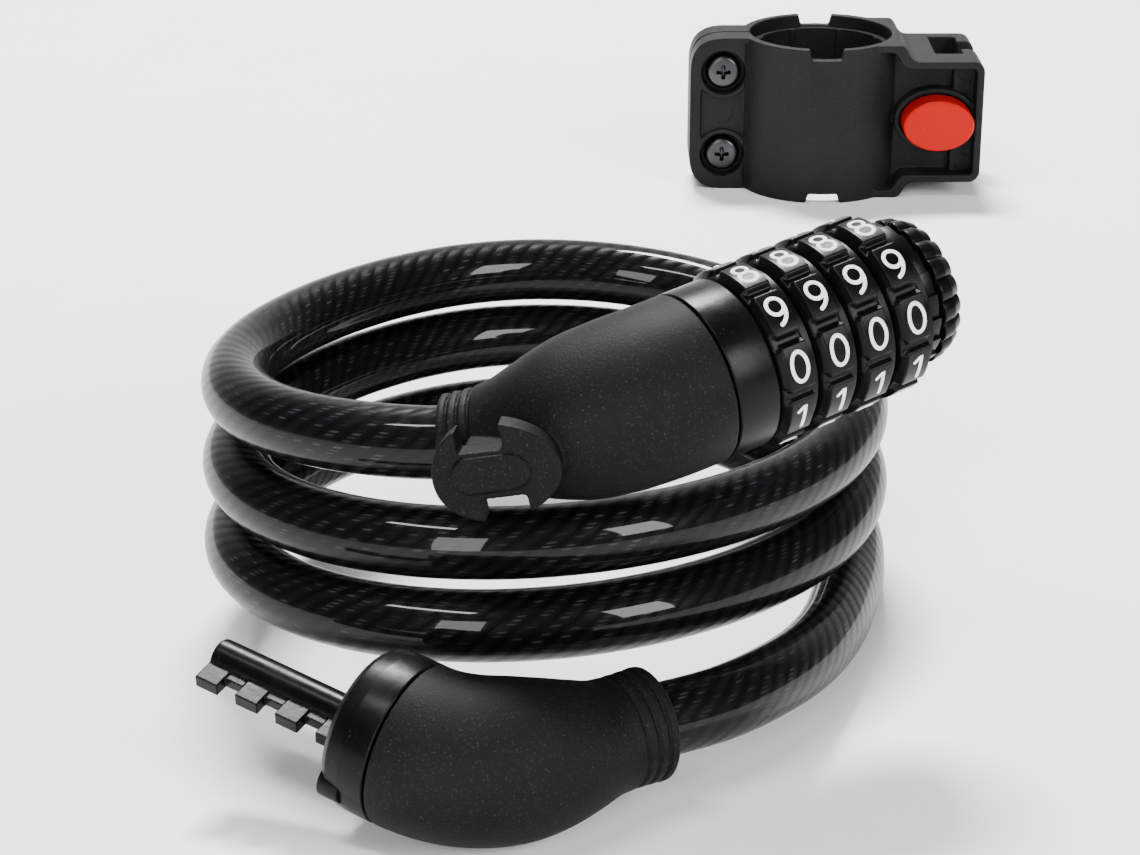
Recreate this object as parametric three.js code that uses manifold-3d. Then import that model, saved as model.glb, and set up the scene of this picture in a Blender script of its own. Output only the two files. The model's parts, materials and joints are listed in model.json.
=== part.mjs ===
// Combination cable lock with its carrier bracket. Millimetres, +Z up, the floor is z = 0.
// The cable lies in three loose turns. One end is moulded into the lock head, which carries four
// number dials and a resetting knob. The other end is moulded into the plug, whose toothed bolt goes
// into the head. The carrier bracket clamps on a frame tube and takes the lug on the head's boot.
import * as THREE from "three";
import { mergeVertices } from "three/addons/utils/BufferGeometryUtils.js";
import Module from "manifold-3d";

const wasm = await Module();
wasm.setup();

const GAP = 0.3;
const UP = new THREE.Vector3(0, 0, 1);

// Where the coil's axis and the bracket's ring axis stand on the floor.
const COIL_CENTRE = new THREE.Vector3(-30, -89, 0);
const BRACKET_CENTRE = new THREE.Vector3(42, 171.5, 0);

// Cable: a steel rope in a plastic sheath.
const CABLE_RADIUS = 6;
const CORE_RADIUS = 4.2;
const CABLE_SIDES = 8;
const CORE_SIDES = 8;
const CABLE_STEPS = 76;

// Coil: turns wind down from the head. The angle is measured from the front towards the left.
const COIL_START = 17;
const COIL_END = 990;
const COIL_POINT_EVERY = 16;
const COIL_RADIUS = 54.9;
const COIL_OVAL = 4.9;
const COIL_OVAL_TURN = 44;
const COIL_SHIFT = new THREE.Vector3(1.6, 2.5, 0);
const COIL_FORWARD_PER_TURN = 2.9;
const COIL_TOP = 46.8;
const COIL_PITCH = 11.1;
const COIL_PITCH_GROWTH = 0.77;
const COIL_LEAN_FRONT = -1.2;
const COIL_LEAN_SIDE = 2.2;
const COIL_SADDLE = 1.4;
const HEAD_LIFT = 4.6;
const HEAD_LIFT_SPREAD = 70;

// Lock head: a curved boot, then a collar with the barrel tube that the dials turn on.
const HEAD_SEAM = new THREE.Vector3(24, -51.6, 61.7);
const HEAD_AXIS = new THREE.Vector3(0.845, 0.508, 0.17).normalize();
const HEAD_ENTRY_AXIS = new THREE.Vector3(0.985, -0.12, 0.12).normalize();
const HEAD_ENTRY_EASE = 12;
const HEAD_SEAM_EASE = 15;
const HEAD_RADIUS = 14.3;
const COLLAR_LENGTH = 7.8;
const DIAL_COUNT = 4;
const DIAL_PITCH = 7.7;
const DIAL_WIDTH = DIAL_PITCH - GAP;
const DIALS_START = COLLAR_LENGTH + GAP;
const CODE_LINE = 169;
const DIAL_RADIUS = 15.2;
const DIAL_VALLEY = 14.2;
const DIAL_BAND = 13.9;
const DIAL_BAND_WIDTH = 1.7;
const DIAL_BEVEL = 1.3;
const DIGITS = 10;
const SLEEVE_OUTER = 10.5;
const SLEEVE_INNER = 6.5;
const BARREL_OUTER = 6.2;
const BARREL_BORE = 3.5;
const BARREL_FLOOR = -3.5;
const TOOTH_SLOT = 3;
const KNOB_START = DIALS_START + DIAL_COUNT * DIAL_PITCH;
const KNOB_LENGTH = 7.3;
const KNOB_FLUTES = 20;
const CLIP_GROOVE = KNOB_START + 3.4;
const BARREL_END = KNOB_START + 5.1;
const PLUNGER_BOTTOM = 9;
const PLUNGER_TOP = 13;

// Plug: an elbow boot, a collar and the toothed bolt.
const PLUG_ENTRY = new THREE.Vector3(17.6, -77, 13.3);
const PLUG_ENTRY_AXIS = new THREE.Vector3(-0.85, -0.52, 0).normalize();
const PLUG_SEAM = new THREE.Vector3(-19.6, -87.7, 15.2);
const PLUG_AXIS = new THREE.Vector3(-0.852, 0.494, 0.17).normalize();
const PLUG_BOOT_EASE = 15;
const PLUG_RADIUS = 13.3;
const PLUG_COLLAR_END = 8.3;
const BOLT_RADIUS = 3;
const BOLT_ROOT = -5.2;
const FIRST_TOOTH = 11.3;
const TOOTH_LENGTH = 4.2;
const BOLT_TIP = FIRST_TOOTH + (DIAL_COUNT - 1) * DIAL_PITCH + 2.3;
const TOOTH_THICKNESS = 2.2;
const TOOTH_REACH = 6.6;
const WEB_REACH = 4.4;
const TOOTH_TILT = -15;

// How far the cable goes into each boot, and the crimped ferrule on its end.
const CABLE_IN_HEAD = 22;
const CABLE_IN_PLUG = 17;
const FERRULE_OUTER = 8.1;
const FERRULE_BORE = 7.2;
const FERRULE_LENGTH = 12;
const FERRULE_STEM = 3.8;
const BOOT_BORE = 7;
const BOOT_CAVITY = 8.5;

// Carrier lug on the head's boot.
const LUG_ALONG = 10.7;
const LUG_OUT = 16.5;
const LUG_WIDTH = 19.6;
const LUG_HEIGHT = 16.8;
const LUG_THICKNESS = 4;

// Bracket: a clamp ring with two lips on the left and the carrier box on the right.
const RING_BORE = 18.9;
const RING_OUTER = 21.2;
const BRACKET_HEIGHT = 41.5;
const LIP_LEFT = -35;
const LIP_DEPTH = 7.5;
const LIP_SLIT = 0.9;
const LIP_CORNER = 9;
const SCREW_X = -26.2;
const SCREW_HEIGHTS = [9.45, 32.05];
const BOX_FRONT = -16;
const BOX_BACK = 16;
const BOX_RIGHT = 42.2;
const BOX_LOW = 4.3;
const BOX_HIGH = BRACKET_HEIGHT - BOX_LOW;
const WALL = 2;
const POCKET_FLOOR = -9;
const CHANNEL = { left: 30.2, right: 37.4, front: -6.6, back: 11.8, floor: 8 };
const CHANNEL_MOUTH = { front: -1.6, back: 6.6 };
const BUTTON_X = 30.2;
const BUTTON_Z = BRACKET_HEIGHT / 2;
const BUTTON_HALF = [9.4, 6.8];
const BUTTON_FRONT = -20;
const BUTTON_BACK = -12.4;
const STEM_RADIUS = 2.4;
const STEM_END = -3.2;

const SEGMENTS = 28;
const BEND_STEP = 5;

// ---------- helpers ----------

function solidOf(geometry) {
  const bare = geometry.index ? geometry.toNonIndexed() : geometry.clone();
  bare.deleteAttribute("normal");
  bare.deleteAttribute("uv");
  const merged = mergeVertices(bare, 1e-4);
  return new wasm.Manifold(new wasm.Mesh({
    numProp: 3,
    vertProperties: new Float32Array(merged.attributes.position.array),
    triVerts: new Uint32Array(merged.index.array),
  }));
}

function geometryOf(solid) {
  const mesh = solid.getMesh();
  const geometry = new THREE.BufferGeometry();
  geometry.setAttribute("position", new THREE.BufferAttribute(new Float32Array(mesh.vertProperties), 3));
  geometry.setIndex(new THREE.BufferAttribute(new Uint32Array(mesh.triVerts), 1));
  return geometry;
}

function join(first, ...others) {
  return geometryOf(others.reduce((sum, other) => sum.add(solidOf(other)), solidOf(first)));
}

function cut(base, ...tools) {
  return geometryOf(tools.reduce((rest, tool) => rest.subtract(solidOf(tool)), solidOf(base)));
}

function common(first, second) {
  return geometryOf(solidOf(first).intersect(solidOf(second)));
}

// A body of revolution about Z from [radius, z] pairs that run up the outside.
function turned(profile, segments = SEGMENTS) {
  const points = profile.map(([radius, z]) => new THREE.Vector2(radius, z));
  return new THREE.LatheGeometry(points, segments).rotateX(Math.PI / 2);
}

// The same body laid along a curve. Long stretches get extra points, so that they can bend.
function turnedAlong(curve, profile, segments = 24) {
  const fine = [profile[0]];
  for (let i = 1; i < profile.length; i += 1) {
    const [r0, z0] = profile[i - 1];
    const [r1, z1] = profile[i];
    const parts = Math.max(1, Math.ceil(Math.abs(z1 - z0) / BEND_STEP));
    for (let k = 1; k <= parts; k += 1) {
      fine.push([THREE.MathUtils.lerp(r0, r1, k / parts), THREE.MathUtils.lerp(z0, z1, k / parts)]);
    }
  }
  return bentAlong(turned(fine, segments), curve);
}

// A tube about Z: its profile closes on itself.
function tube(outer, inner, from, to, segments = SEGMENTS) {
  return turned([[inner, from], [outer, from], [outer, to], [inner, to], [inner, from]], segments);
}

function rod(radius, from, to, segments = SEGMENTS) {
  return turned([[0, from], [radius, from], [radius, to], [0, to]], segments);
}

function block(x0, x1, y0, y1, z0, z1) {
  const box = new THREE.BoxGeometry(x1 - x0, y1 - y0, z1 - z0);
  return box.translate((x0 + x1) / 2, (y0 + y1) / 2, (z0 + z1) / 2);
}

// A flat shape drawn in X and Z, as thick as from y0 to y1.
function plateXZ(shape, y0, y1, curveSegments = 6) {
  const options = { depth: y1 - y0, bevelEnabled: false, curveSegments };
  return new THREE.ExtrudeGeometry(shape, options).rotateX(Math.PI / 2).translate(0, y1, 0);
}

function polygon(points) {
  return new THREE.Shape(points.map(([x, y]) => new THREE.Vector2(x, y)));
}

function ellipse(halfWidth, halfHeight, x = 0, y = 0) {
  return new THREE.Shape().absellipse(x, y, halfWidth, halfHeight, 0, 2 * Math.PI);
}

// The frame of a body that lies along an axis: local Z on the axis, local Y as near up as it can be.
function basisAlong(axis) {
  const side = new THREE.Vector3().crossVectors(UP, axis).normalize();
  const rise = new THREE.Vector3().crossVectors(axis, side);
  return new THREE.Matrix4().makeBasis(side, rise, axis);
}

function groupAlong(point, axis) {
  const group = new THREE.Group();
  group.position.copy(point);
  group.quaternion.setFromRotationMatrix(basisAlong(axis));
  return group;
}

// Lays a straight body along a curve: its local z becomes the distance along the curve.
function bentAlong(geometry, curve) {
  const bent = geometry.clone();
  const place = bent.attributes.position;
  const length = curve.getLength();
  const point = new THREE.Vector3();
  for (let i = 0; i < place.count; i += 1) {
    point.fromBufferAttribute(place, i);
    const share = THREE.MathUtils.clamp(point.z / length, 0, 1);
    const axis = curve.getTangentAt(share);
    const base = curve.getPointAt(share).addScaledVector(axis, point.z - share * length);
    point.z = 0;
    point.applyMatrix4(basisAlong(axis)).add(base);
    place.setXYZ(i, point.x, point.y, point.z);
  }
  return bent;
}

function material(color, roughness, metalness = 0) {
  return new THREE.MeshStandardMaterial({ color, roughness, metalness });
}

const finishes = {
  boot: material(0x1b1b1c, 0.72),
  gloss: material(0x141415, 0.32),
  sheath: material(0x101114, 0.14),
  bracket: material(0x3b3c3e, 0.62),
  button: material(0xd8330f, 0.34),
  steel: material(0x9a9da1, 0.3, 1),
  blackSteel: material(0x2a2b2d, 0.35, 1),
  zinc: material(0x84868a, 0.4, 1),
  brass: material(0xb08d4a, 0.35, 1),
  rubber: material(0x1d1d1e, 0.85),
};

function add(parent, name, geometry, finish) {
  const mesh = new THREE.Mesh(geometry, finish.clone());
  mesh.name = name;
  parent.add(mesh);
}

// ---------- cable route ----------

function coilPoint(degrees) {
  const angle = THREE.MathUtils.degToRad(degrees);
  const turns = degrees / 360;
  const fromLongest = angle - THREE.MathUtils.degToRad(COIL_OVAL_TURN);
  const radius = COIL_RADIUS + COIL_OVAL * Math.cos(2 * fromLongest);
  const drop = COIL_PITCH * turns + COIL_PITCH_GROWTH * turns * turns;
  const lean = COIL_LEAN_FRONT * Math.cos(angle) + COIL_LEAN_SIDE * Math.sin(angle);
  const lift = HEAD_LIFT * Math.exp(-((degrees / HEAD_LIFT_SPREAD) ** 2));
  const height = COIL_TOP - drop + lean + lift + COIL_SADDLE * Math.cos(2 * angle);
  const x = -radius * Math.sin(angle);
  const y = -radius * Math.cos(angle) - COIL_FORWARD_PER_TURN * turns;
  return new THREE.Vector3(x, y, height).add(COIL_SHIFT);
}

function coilPoints() {
  const turns = Math.round((COIL_END - COIL_START) / COIL_POINT_EVERY);
  const points = [];
  for (let i = 0; i <= turns; i += 1) {
    points.push(coilPoint(COIL_START + (COIL_END - COIL_START) * i / turns));
  }
  return points;
}

// The boots' centre lines, from where the cable enters to the collar's seam.
const headEntry = coilPoint(COIL_START);
const headSpine = new THREE.CubicBezierCurve3(
  headEntry,
  headEntry.clone().addScaledVector(HEAD_ENTRY_AXIS, HEAD_ENTRY_EASE),
  HEAD_SEAM.clone().addScaledVector(HEAD_AXIS, -HEAD_SEAM_EASE),
  HEAD_SEAM,
);
const plugSpine = new THREE.CubicBezierCurve3(
  PLUG_ENTRY,
  PLUG_ENTRY.clone().addScaledVector(PLUG_ENTRY_AXIS, PLUG_BOOT_EASE),
  PLUG_SEAM.clone().addScaledVector(PLUG_AXIS, -PLUG_BOOT_EASE),
  PLUG_SEAM,
);

// The free lead from the last turn to the plug.
const LEAD = [
  [53.6, -19.8, 7.2],
  [49.9, -33.6, 8.1],
  [44.8, -46.6, 9.6],
  [37.7, -58.6, 11.2],
  [28.6, -69.4, 12.6],
];

function alongSpine(spine, distances) {
  return distances.map((distance) => spine.getPointAt(distance / spine.getLength()));
}

function cableRoute() {
  const inHead = alongSpine(headSpine, [CABLE_IN_HEAD, CABLE_IN_HEAD * 2 / 3, CABLE_IN_HEAD / 3]);
  const lead = LEAD.map(([x, y, z]) => new THREE.Vector3(x, y, z));
  const inPlug = alongSpine(plugSpine, [0, CABLE_IN_PLUG / 3, CABLE_IN_PLUG * 2 / 3, CABLE_IN_PLUG]);
  return new THREE.CatmullRomCurve3([...inHead, ...coilPoints(), ...lead, ...inPlug]);
}

function roundSection(radius, sides, hole = 0) {
  const ring = (size) => Array.from({ length: sides }, (_, i) => {
    const angle = 2 * Math.PI * i / sides;
    return new THREE.Vector2(size * Math.cos(angle), size * Math.sin(angle));
  });
  const shape = new THREE.Shape(ring(radius));
  if (hole > 0) shape.holes.push(new THREE.Path(ring(hole).reverse()));
  return shape;
}

function addCable(lock) {
  const route = cableRoute();
  const options = { steps: CABLE_STEPS, extrudePath: route, bevelEnabled: false };
  const sheath = roundSection(CABLE_RADIUS, CABLE_SIDES, CORE_RADIUS + 2 * GAP);
  add(lock, "cable_sheath", new THREE.ExtrudeGeometry(sheath, options), finishes.sheath);
  const core = roundSection(CORE_RADIUS, CORE_SIDES);
  add(lock, "cable_core", new THREE.ExtrudeGeometry(core, options), finishes.steel);
}

// A cup crimped over the cable's end, and a stem from it towards the collar. "end" is how far the
// cable goes in along the boot's centre line, and "reach" how far the stem goes.
function ferrule(spine, end, reach) {
  const mouth = end - FERRULE_LENGTH;
  const floor = end + 3 * GAP;
  return turnedAlong(spine, [
    [0, floor], [FERRULE_BORE, floor], [FERRULE_BORE, mouth], [FERRULE_OUTER, mouth],
    [FERRULE_OUTER, floor + 2], [FERRULE_STEM, floor + 2], [FERRULE_STEM, reach], [0, reach],
  ], 16);
}

// ---------- lock head ----------

// Ribs of a strain relief: shallow grooves in the first part of a boot.
function ribs(radius, count, pitch) {
  const points = [[radius - 0.4, 0], [radius, 0.4]];
  for (let i = 1; i <= count; i += 1) {
    const middle = i * pitch;
    points.push([radius, middle - 0.5], [radius - 0.5, middle - 0.2]);
    points.push([radius - 0.5, middle + 0.2], [radius, middle + 0.5]);
  }
  return points;
}

function carrierLug() {
  const halfWidth = LUG_WIDTH / 2;
  const halfHeight = LUG_HEIGHT / 2;
  const disc = ellipse(halfWidth, halfHeight);
  const place = (geometry) => geometry.rotateY(Math.PI / 2).translate(-LUG_OUT, 0, LUG_ALONG);
  const plate = new THREE.ExtrudeGeometry(disc, { depth: LUG_THICKNESS, bevelEnabled: false, curveSegments: 14 });
  const notchTop = block(-2.8, 4.4, 3.6, 20, -1, LUG_THICKNESS + 1);
  const notchBottom = block(-4.4, 2.2, -20, -4.4, -1, LUG_THICKNESS + 1);
  const faced = cut(plate, notchTop, notchBottom);
  const neck = block(-3.9, 3.9, -3.4, 3.4, LUG_THICKNESS - 1, LUG_OUT);
  const ridge = block(-6, 6, -2.4, 2.4, -1.1, 1);
  return place(join(faced, neck, ridge));
}

function headBoot() {
  const length = headSpine.getLength() - GAP / 2;
  const outer = turnedAlong(headSpine, [
    [0, 0], ...ribs(8.1, 3, 2.1), [8.6, 8], [9.3, 10], [10.8, 13.2], [12.3, 17],
    [13.5, 22], [14.15, 29], [HEAD_RADIUS, length], [0, length],
  ]);
  const inner = turnedAlong(headSpine, [
    [0, -2], [BOOT_BORE, -2], [BOOT_BORE, 9.2], [BOOT_CAVITY, 9.4], [BOOT_CAVITY, 27],
    [10.2, 29.5], [10.2, length + 2], [0, length + 2],
  ], 16);
  return cut(join(outer, bentAlong(carrierLug(), headSpine)), inner);
}

// The collar and the barrel are one casting: a socket for the ferrule's end at the back, a blind bore
// for the bolt, a slot for the bolt's teeth, and a seat for the detent strip opposite the slot.
function headCollar() {
  const body = turned([
    [0, -5.5], [5.8, -5.5], [5.8, -8.5], [8.8, -8.5], [8.8, GAP / 2],
    [HEAD_RADIUS, GAP / 2], [HEAD_RADIUS, COLLAR_LENGTH], [BARREL_OUTER, COLLAR_LENGTH],
    [BARREL_OUTER, CLIP_GROOVE], [BARREL_OUTER - 0.8, CLIP_GROOVE],
    [BARREL_OUTER - 0.8, CLIP_GROOVE + 1], [BARREL_OUTER, CLIP_GROOVE + 1],
    [BARREL_OUTER, BARREL_END], [BARREL_BORE, BARREL_END], [BARREL_BORE, BARREL_FLOOR],
    [0, BARREL_FLOOR],
  ]);
  const slot = block(-20, 0, -TOOTH_SLOT / 2, TOOTH_SLOT / 2, DIALS_START, BARREL_END + 5);
  const seat = block(4.9, 20, -1.7, 1.7, DIALS_START, KNOB_START - 0.5);
  return cut(body, slot, seat);
}

function dialOutline() {
  const step = 2 * Math.PI / DIGITS;
  const shape = new THREE.Shape();
  const at = (radius, angle) => [radius * Math.cos(angle), radius * Math.sin(angle)];
  shape.moveTo(...at(DIAL_VALLEY, -0.5 * step));
  for (let i = 0; i < DIGITS; i += 1) {
    const middle = i * step;
    shape.lineTo(...at(DIAL_VALLEY, middle - 0.43 * step));
    shape.lineTo(...at(DIAL_RADIUS, middle - 0.36 * step));
    shape.lineTo(...at(DIAL_RADIUS + 0.05, middle));
    shape.lineTo(...at(DIAL_RADIUS, middle + 0.36 * step));
    shape.lineTo(...at(DIAL_VALLEY, middle + 0.43 * step));
  }
  shape.closePath();
  return shape;
}

// A dial: ten raised pads with a bevel on the boot side, and a lower band on the knob side.
function dial(from) {
  const padsEnd = from + DIAL_WIDTH - DIAL_BAND_WIDTH;
  const end = from + DIAL_WIDTH;
  const star = new THREE.ExtrudeGeometry(dialOutline(), { depth: DIAL_WIDTH, bevelEnabled: false });
  star.translate(0, 0, from);
  const wide = DIAL_RADIUS + 1;
  const envelope = turned([
    [0, from], [DIAL_VALLEY, from], [wide, from + DIAL_BEVEL + 0.9],
    [wide, padsEnd], [DIAL_BAND, padsEnd], [DIAL_BAND, end], [0, end],
  ], 2 * DIGITS);
  const ring = cut(common(star, envelope), rod(SLEEVE_OUTER + GAP, from - 1, end + 1, 2 * DIGITS));
  return ring.rotateZ(THREE.MathUtils.degToRad(CODE_LINE));
}

// A sleeve: it turns with its dial on the barrel, and its gate lets a bolt tooth past.
function sleeve(from) {
  const body = tube(SLEEVE_OUTER, SLEEVE_INNER, from, from + DIAL_WIDTH - 0.4, 20);
  const gate = block(-8.2, 0, -TOOTH_SLOT / 2, TOOTH_SLOT / 2, from - 1, from + DIAL_WIDTH + 1);
  return cut(body, gate);
}

function detentStrip() {
  const start = COLLAR_LENGTH + 1.2;
  const shape = new THREE.Shape();
  shape.moveTo(5.2, start);
  for (let i = 0; i < DIAL_COUNT; i += 1) {
    const middle = DIALS_START + DIAL_WIDTH / 2 + i * DIAL_PITCH;
    shape.lineTo(5.2, middle - 1.6);
    shape.lineTo(5.75, middle);
    shape.lineTo(5.2, middle + 1.6);
  }
  const end = KNOB_START - 1.2;
  shape.lineTo(5.2, end);
  shape.lineTo(5.65, end);
  for (let i = DIAL_COUNT - 1; i >= 0; i -= 1) {
    const middle = DIALS_START + DIAL_WIDTH / 2 + i * DIAL_PITCH;
    shape.lineTo(5.65, middle + 1.6);
    shape.lineTo(6.2, middle);
    shape.lineTo(5.65, middle - 1.6);
  }
  shape.lineTo(5.65, start);
  return plateXZ(shape, -1.2, 1.2);
}

function endKnob() {
  const shell = turned([
    [SLEEVE_INNER, 0], [12.8, 0], [12.8, 2], [11.6, 2.2], [11.6, 2.8], [12.5, 3.1], [11.9, 6.1],
    [11, KNOB_LENGTH], [8.4, KNOB_LENGTH], [8.4, 2.9], [SLEEVE_INNER, 2.9], [SLEEVE_INNER, 0],
  ], 2 * KNOB_FLUTES);
  const flutes = Array.from({ length: KNOB_FLUTES }, (_, i) => {
    const flute = rod(1.1, -1, KNOB_LENGTH + 1, 3).translate(13, 0, 0);
    return flute.rotateZ((i + 0.5) * 2 * Math.PI / KNOB_FLUTES);
  });
  return cut(shell, ...flutes).translate(0, 0, KNOB_START);
}

function knobClip() {
  const ring = tube(7.9, BARREL_OUTER - 0.5, CLIP_GROOVE + 0.2, CLIP_GROOVE + 0.8, 20);
  return cut(ring, block(-10, 0, -2.2, 2.2, CLIP_GROOVE - 1, CLIP_GROOVE + 2));
}

function ejectorPlunger() {
  return turned([
    [0, PLUNGER_BOTTOM - 4], [1.6, PLUNGER_BOTTOM - 4], [1.6, PLUNGER_BOTTOM],
    [BARREL_BORE - GAP, PLUNGER_BOTTOM], [BARREL_BORE - GAP, PLUNGER_TOP - 0.6],
    [BARREL_BORE - 1, PLUNGER_TOP], [0, PLUNGER_TOP],
  ], 20);
}

class Helix extends THREE.Curve {
  constructor(radius, from, to, turns) {
    super();
    Object.assign(this, { radius, from, to, turns });
  }

  getPoint(share, target = new THREE.Vector3()) {
    const angle = 2 * Math.PI * this.turns * share;
    const rise = THREE.MathUtils.lerp(this.from, this.to, share);
    return target.set(this.radius * Math.cos(angle), this.radius * Math.sin(angle), rise);
  }
}

function coilSpring(radius, wire, from, to, turns) {
  const path = new Helix(radius, from, to, turns);
  const options = { steps: turns * 9, extrudePath: path, bevelEnabled: false };
  return new THREE.ExtrudeGeometry(roundSection(wire, 4), options);
}

function addHead(lock) {
  add(lock, "head_boot", headBoot(), finishes.boot);
  const stemEnd = headSpine.getLength() - 7;
  add(lock, "head_ferrule", ferrule(headSpine, CABLE_IN_HEAD, stemEnd), finishes.zinc);
  const head = groupAlong(HEAD_SEAM, HEAD_AXIS);
  lock.add(head);
  add(head, "head_collar", headCollar(), finishes.gloss);
  for (let i = 0; i < DIAL_COUNT; i += 1) {
    const from = DIALS_START + i * DIAL_PITCH;
    add(head, `dial_${i + 1}`, dial(from), finishes.gloss);
    add(head, `sleeve_${i + 1}`, sleeve(from + 0.2), finishes.brass);
  }
  add(head, "detent_strip", detentStrip(), finishes.steel);
  add(head, "end_knob", endKnob(), finishes.gloss);
  add(head, "knob_clip", knobClip(), finishes.steel);
  add(head, "ejector_plunger", ejectorPlunger(), finishes.brass);
  const spring = coilSpring(2.5, 0.3, BARREL_FLOOR + 0.6, PLUNGER_BOTTOM - 0.6, 6);
  add(head, "ejector_spring", spring, finishes.steel);
}

// ---------- plug ----------

function plugBoot() {
  const length = plugSpine.getLength() - GAP / 2;
  const outer = turnedAlong(plugSpine, [
    [0, 0], ...ribs(9.2, 4, 2.1), [9.3, 10], [10.6, 14], [12.3, 21], [13.2, 29],
    [PLUG_RADIUS, length], [0, length],
  ]);
  const inner = turnedAlong(plugSpine, [
    [0, -2], [BOOT_BORE, -2], [BOOT_BORE, 4.2], [BOOT_CAVITY, 4.4], [BOOT_CAVITY, length - 9],
    [9.7, length - 7.5], [9.7, length + 2], [0, length + 2],
  ], 16);
  return cut(outer, inner);
}

function plugCollar() {
  const body = turned([
    [BOLT_RADIUS + GAP, -6], [8.4, -6], [8.4, GAP / 2], [PLUG_RADIUS, GAP / 2], [PLUG_RADIUS, 5.2],
    [12.9, 7.2], [12.2, PLUG_COLLAR_END], [10.8, PLUG_COLLAR_END], [10.5, 6.8],
    [BOLT_RADIUS + GAP, 6.8], [BOLT_RADIUS + GAP, -6],
  ]);
  const pinHole = rod(1.5, -20, 20, 12).rotateX(Math.PI / 2).translate(0, 0, -3);
  const nub = rod(2.4, 4.6, PLUG_COLLAR_END - 0.2, 16).translate(9.5, -8.6, 0);
  return cut(join(body, nub), pinHole);
}

// The bolt: a round bar with a thin web and four flat teeth on one side.
function plugBolt() {
  const bar = turned([
    [0, BOLT_ROOT], [BOLT_RADIUS, BOLT_ROOT], [BOLT_RADIUS, BOLT_TIP - 1], [BOLT_RADIUS - 0.9, BOLT_TIP],
    [0, BOLT_TIP],
  ], 20);
  const half = TOOTH_THICKNESS / 2;
  const web = block(0, WEB_REACH, -half, half, PLUG_COLLAR_END - 1, BOLT_TIP - 1.4);
  const teeth = Array.from({ length: DIAL_COUNT }, (_, i) => {
    const middle = FIRST_TOOTH + i * DIAL_PITCH;
    return block(0, TOOTH_REACH, -half, half, middle - TOOTH_LENGTH / 2, middle + TOOTH_LENGTH / 2);
  });
  const pinHole = rod(1.5, -20, 20, 12).rotateX(Math.PI / 2).translate(0, 0, -3);
  const toothed = join(bar, web, ...teeth).rotateZ(THREE.MathUtils.degToRad(TOOTH_TILT));
  return cut(toothed, pinHole);
}

function addPlug(lock) {
  add(lock, "plug_boot", plugBoot(), finishes.boot);
  const stemEnd = plugSpine.getLength() - 8;
  add(lock, "plug_ferrule", ferrule(plugSpine, CABLE_IN_PLUG, stemEnd), finishes.zinc);
  const plug = groupAlong(PLUG_SEAM, PLUG_AXIS);
  lock.add(plug);
  add(plug, "plug_collar", plugCollar(), finishes.gloss);
  add(plug, "plug_bolt", plugBolt(), finishes.gloss);
  const pin = rod(1.2, -8.2, 8.2, 12).rotateX(Math.PI / 2).translate(0, 0, -3);
  add(plug, "bolt_pin", pin, finishes.steel);
}

// ---------- carrier bracket ----------

function lipShape() {
  const shape = new THREE.Shape();
  shape.moveTo(-10, 0);
  shape.lineTo(-10, BRACKET_HEIGHT);
  shape.lineTo(LIP_LEFT + LIP_CORNER, BRACKET_HEIGHT);
  shape.absarc(LIP_LEFT + LIP_CORNER, BRACKET_HEIGHT - LIP_CORNER, LIP_CORNER, Math.PI / 2, Math.PI);
  shape.absarc(LIP_LEFT + LIP_CORNER, LIP_CORNER, LIP_CORNER, Math.PI, 1.5 * Math.PI);
  return shape;
}

// The carrier box's outline: full height by the ring, then an S-curve down to the lower box.
function boxShape(inset) {
  const low = BOX_LOW + inset;
  const right = BOX_RIGHT - inset;
  const edge = 3 - inset;
  const bend = 19.5;
  const shape = new THREE.Shape();
  shape.moveTo(10, inset);
  shape.lineTo(bend - inset, inset);
  shape.bezierCurveTo(bend + 2.6 - inset, inset, bend + 2 - inset, low, bend + 5.2 - inset, low);
  shape.lineTo(right - edge, low);
  shape.absarc(right - edge, low + edge, edge, -Math.PI / 2, 0);
  shape.absarc(right - edge, BRACKET_HEIGHT - low - edge, edge, 0, Math.PI / 2);
  shape.lineTo(bend + 5.2 - inset, BRACKET_HEIGHT - low);
  shape.bezierCurveTo(bend + 2 - inset, BRACKET_HEIGHT - low, bend + 2.6 - inset, BRACKET_HEIGHT - inset,
    bend - inset, BRACKET_HEIGHT - inset);
  shape.lineTo(10, BRACKET_HEIGHT - inset);
  return shape;
}

function notch(y0, y1, top) {
  const level = top ? BRACKET_HEIGHT : 0;
  const depth = top ? -2.8 : 2.5;
  const over = top ? 1 : -1;
  const outline = polygon([[-4.8, level + over], [-3.8, level + depth], [3.8, level + depth], [4.8, level + over]]);
  return plateXZ(outline, y0, y1);
}

function screwCuts(height) {
  const along = (geometry) => geometry.rotateX(Math.PI / 2).translate(SCREW_X, 0, height);
  const hole = along(rod(2.8, -20, 20, 16));
  const counterbore = along(rod(5.9, LIP_DEPTH - 3.8, 20, 24));
  const nutPocket = along(rod(4.95, -20, -(LIP_DEPTH - 4), 6));
  return [hole, counterbore, nutPocket];
}

function pocketBoss() {
  const outer = plateXZ(ellipse(BUTTON_HALF[0] + 1.7, BUTTON_HALF[1] + 1.7, BUTTON_X, BUTTON_Z), -13.4, POCKET_FLOOR + 1, 14);
  const inner = plateXZ(ellipse(BUTTON_HALF[0] + 0.4, BUTTON_HALF[1] + 0.4, BUTTON_X, BUTTON_Z), -30, POCKET_FLOOR, 14);
  return { outer, inner };
}

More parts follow.
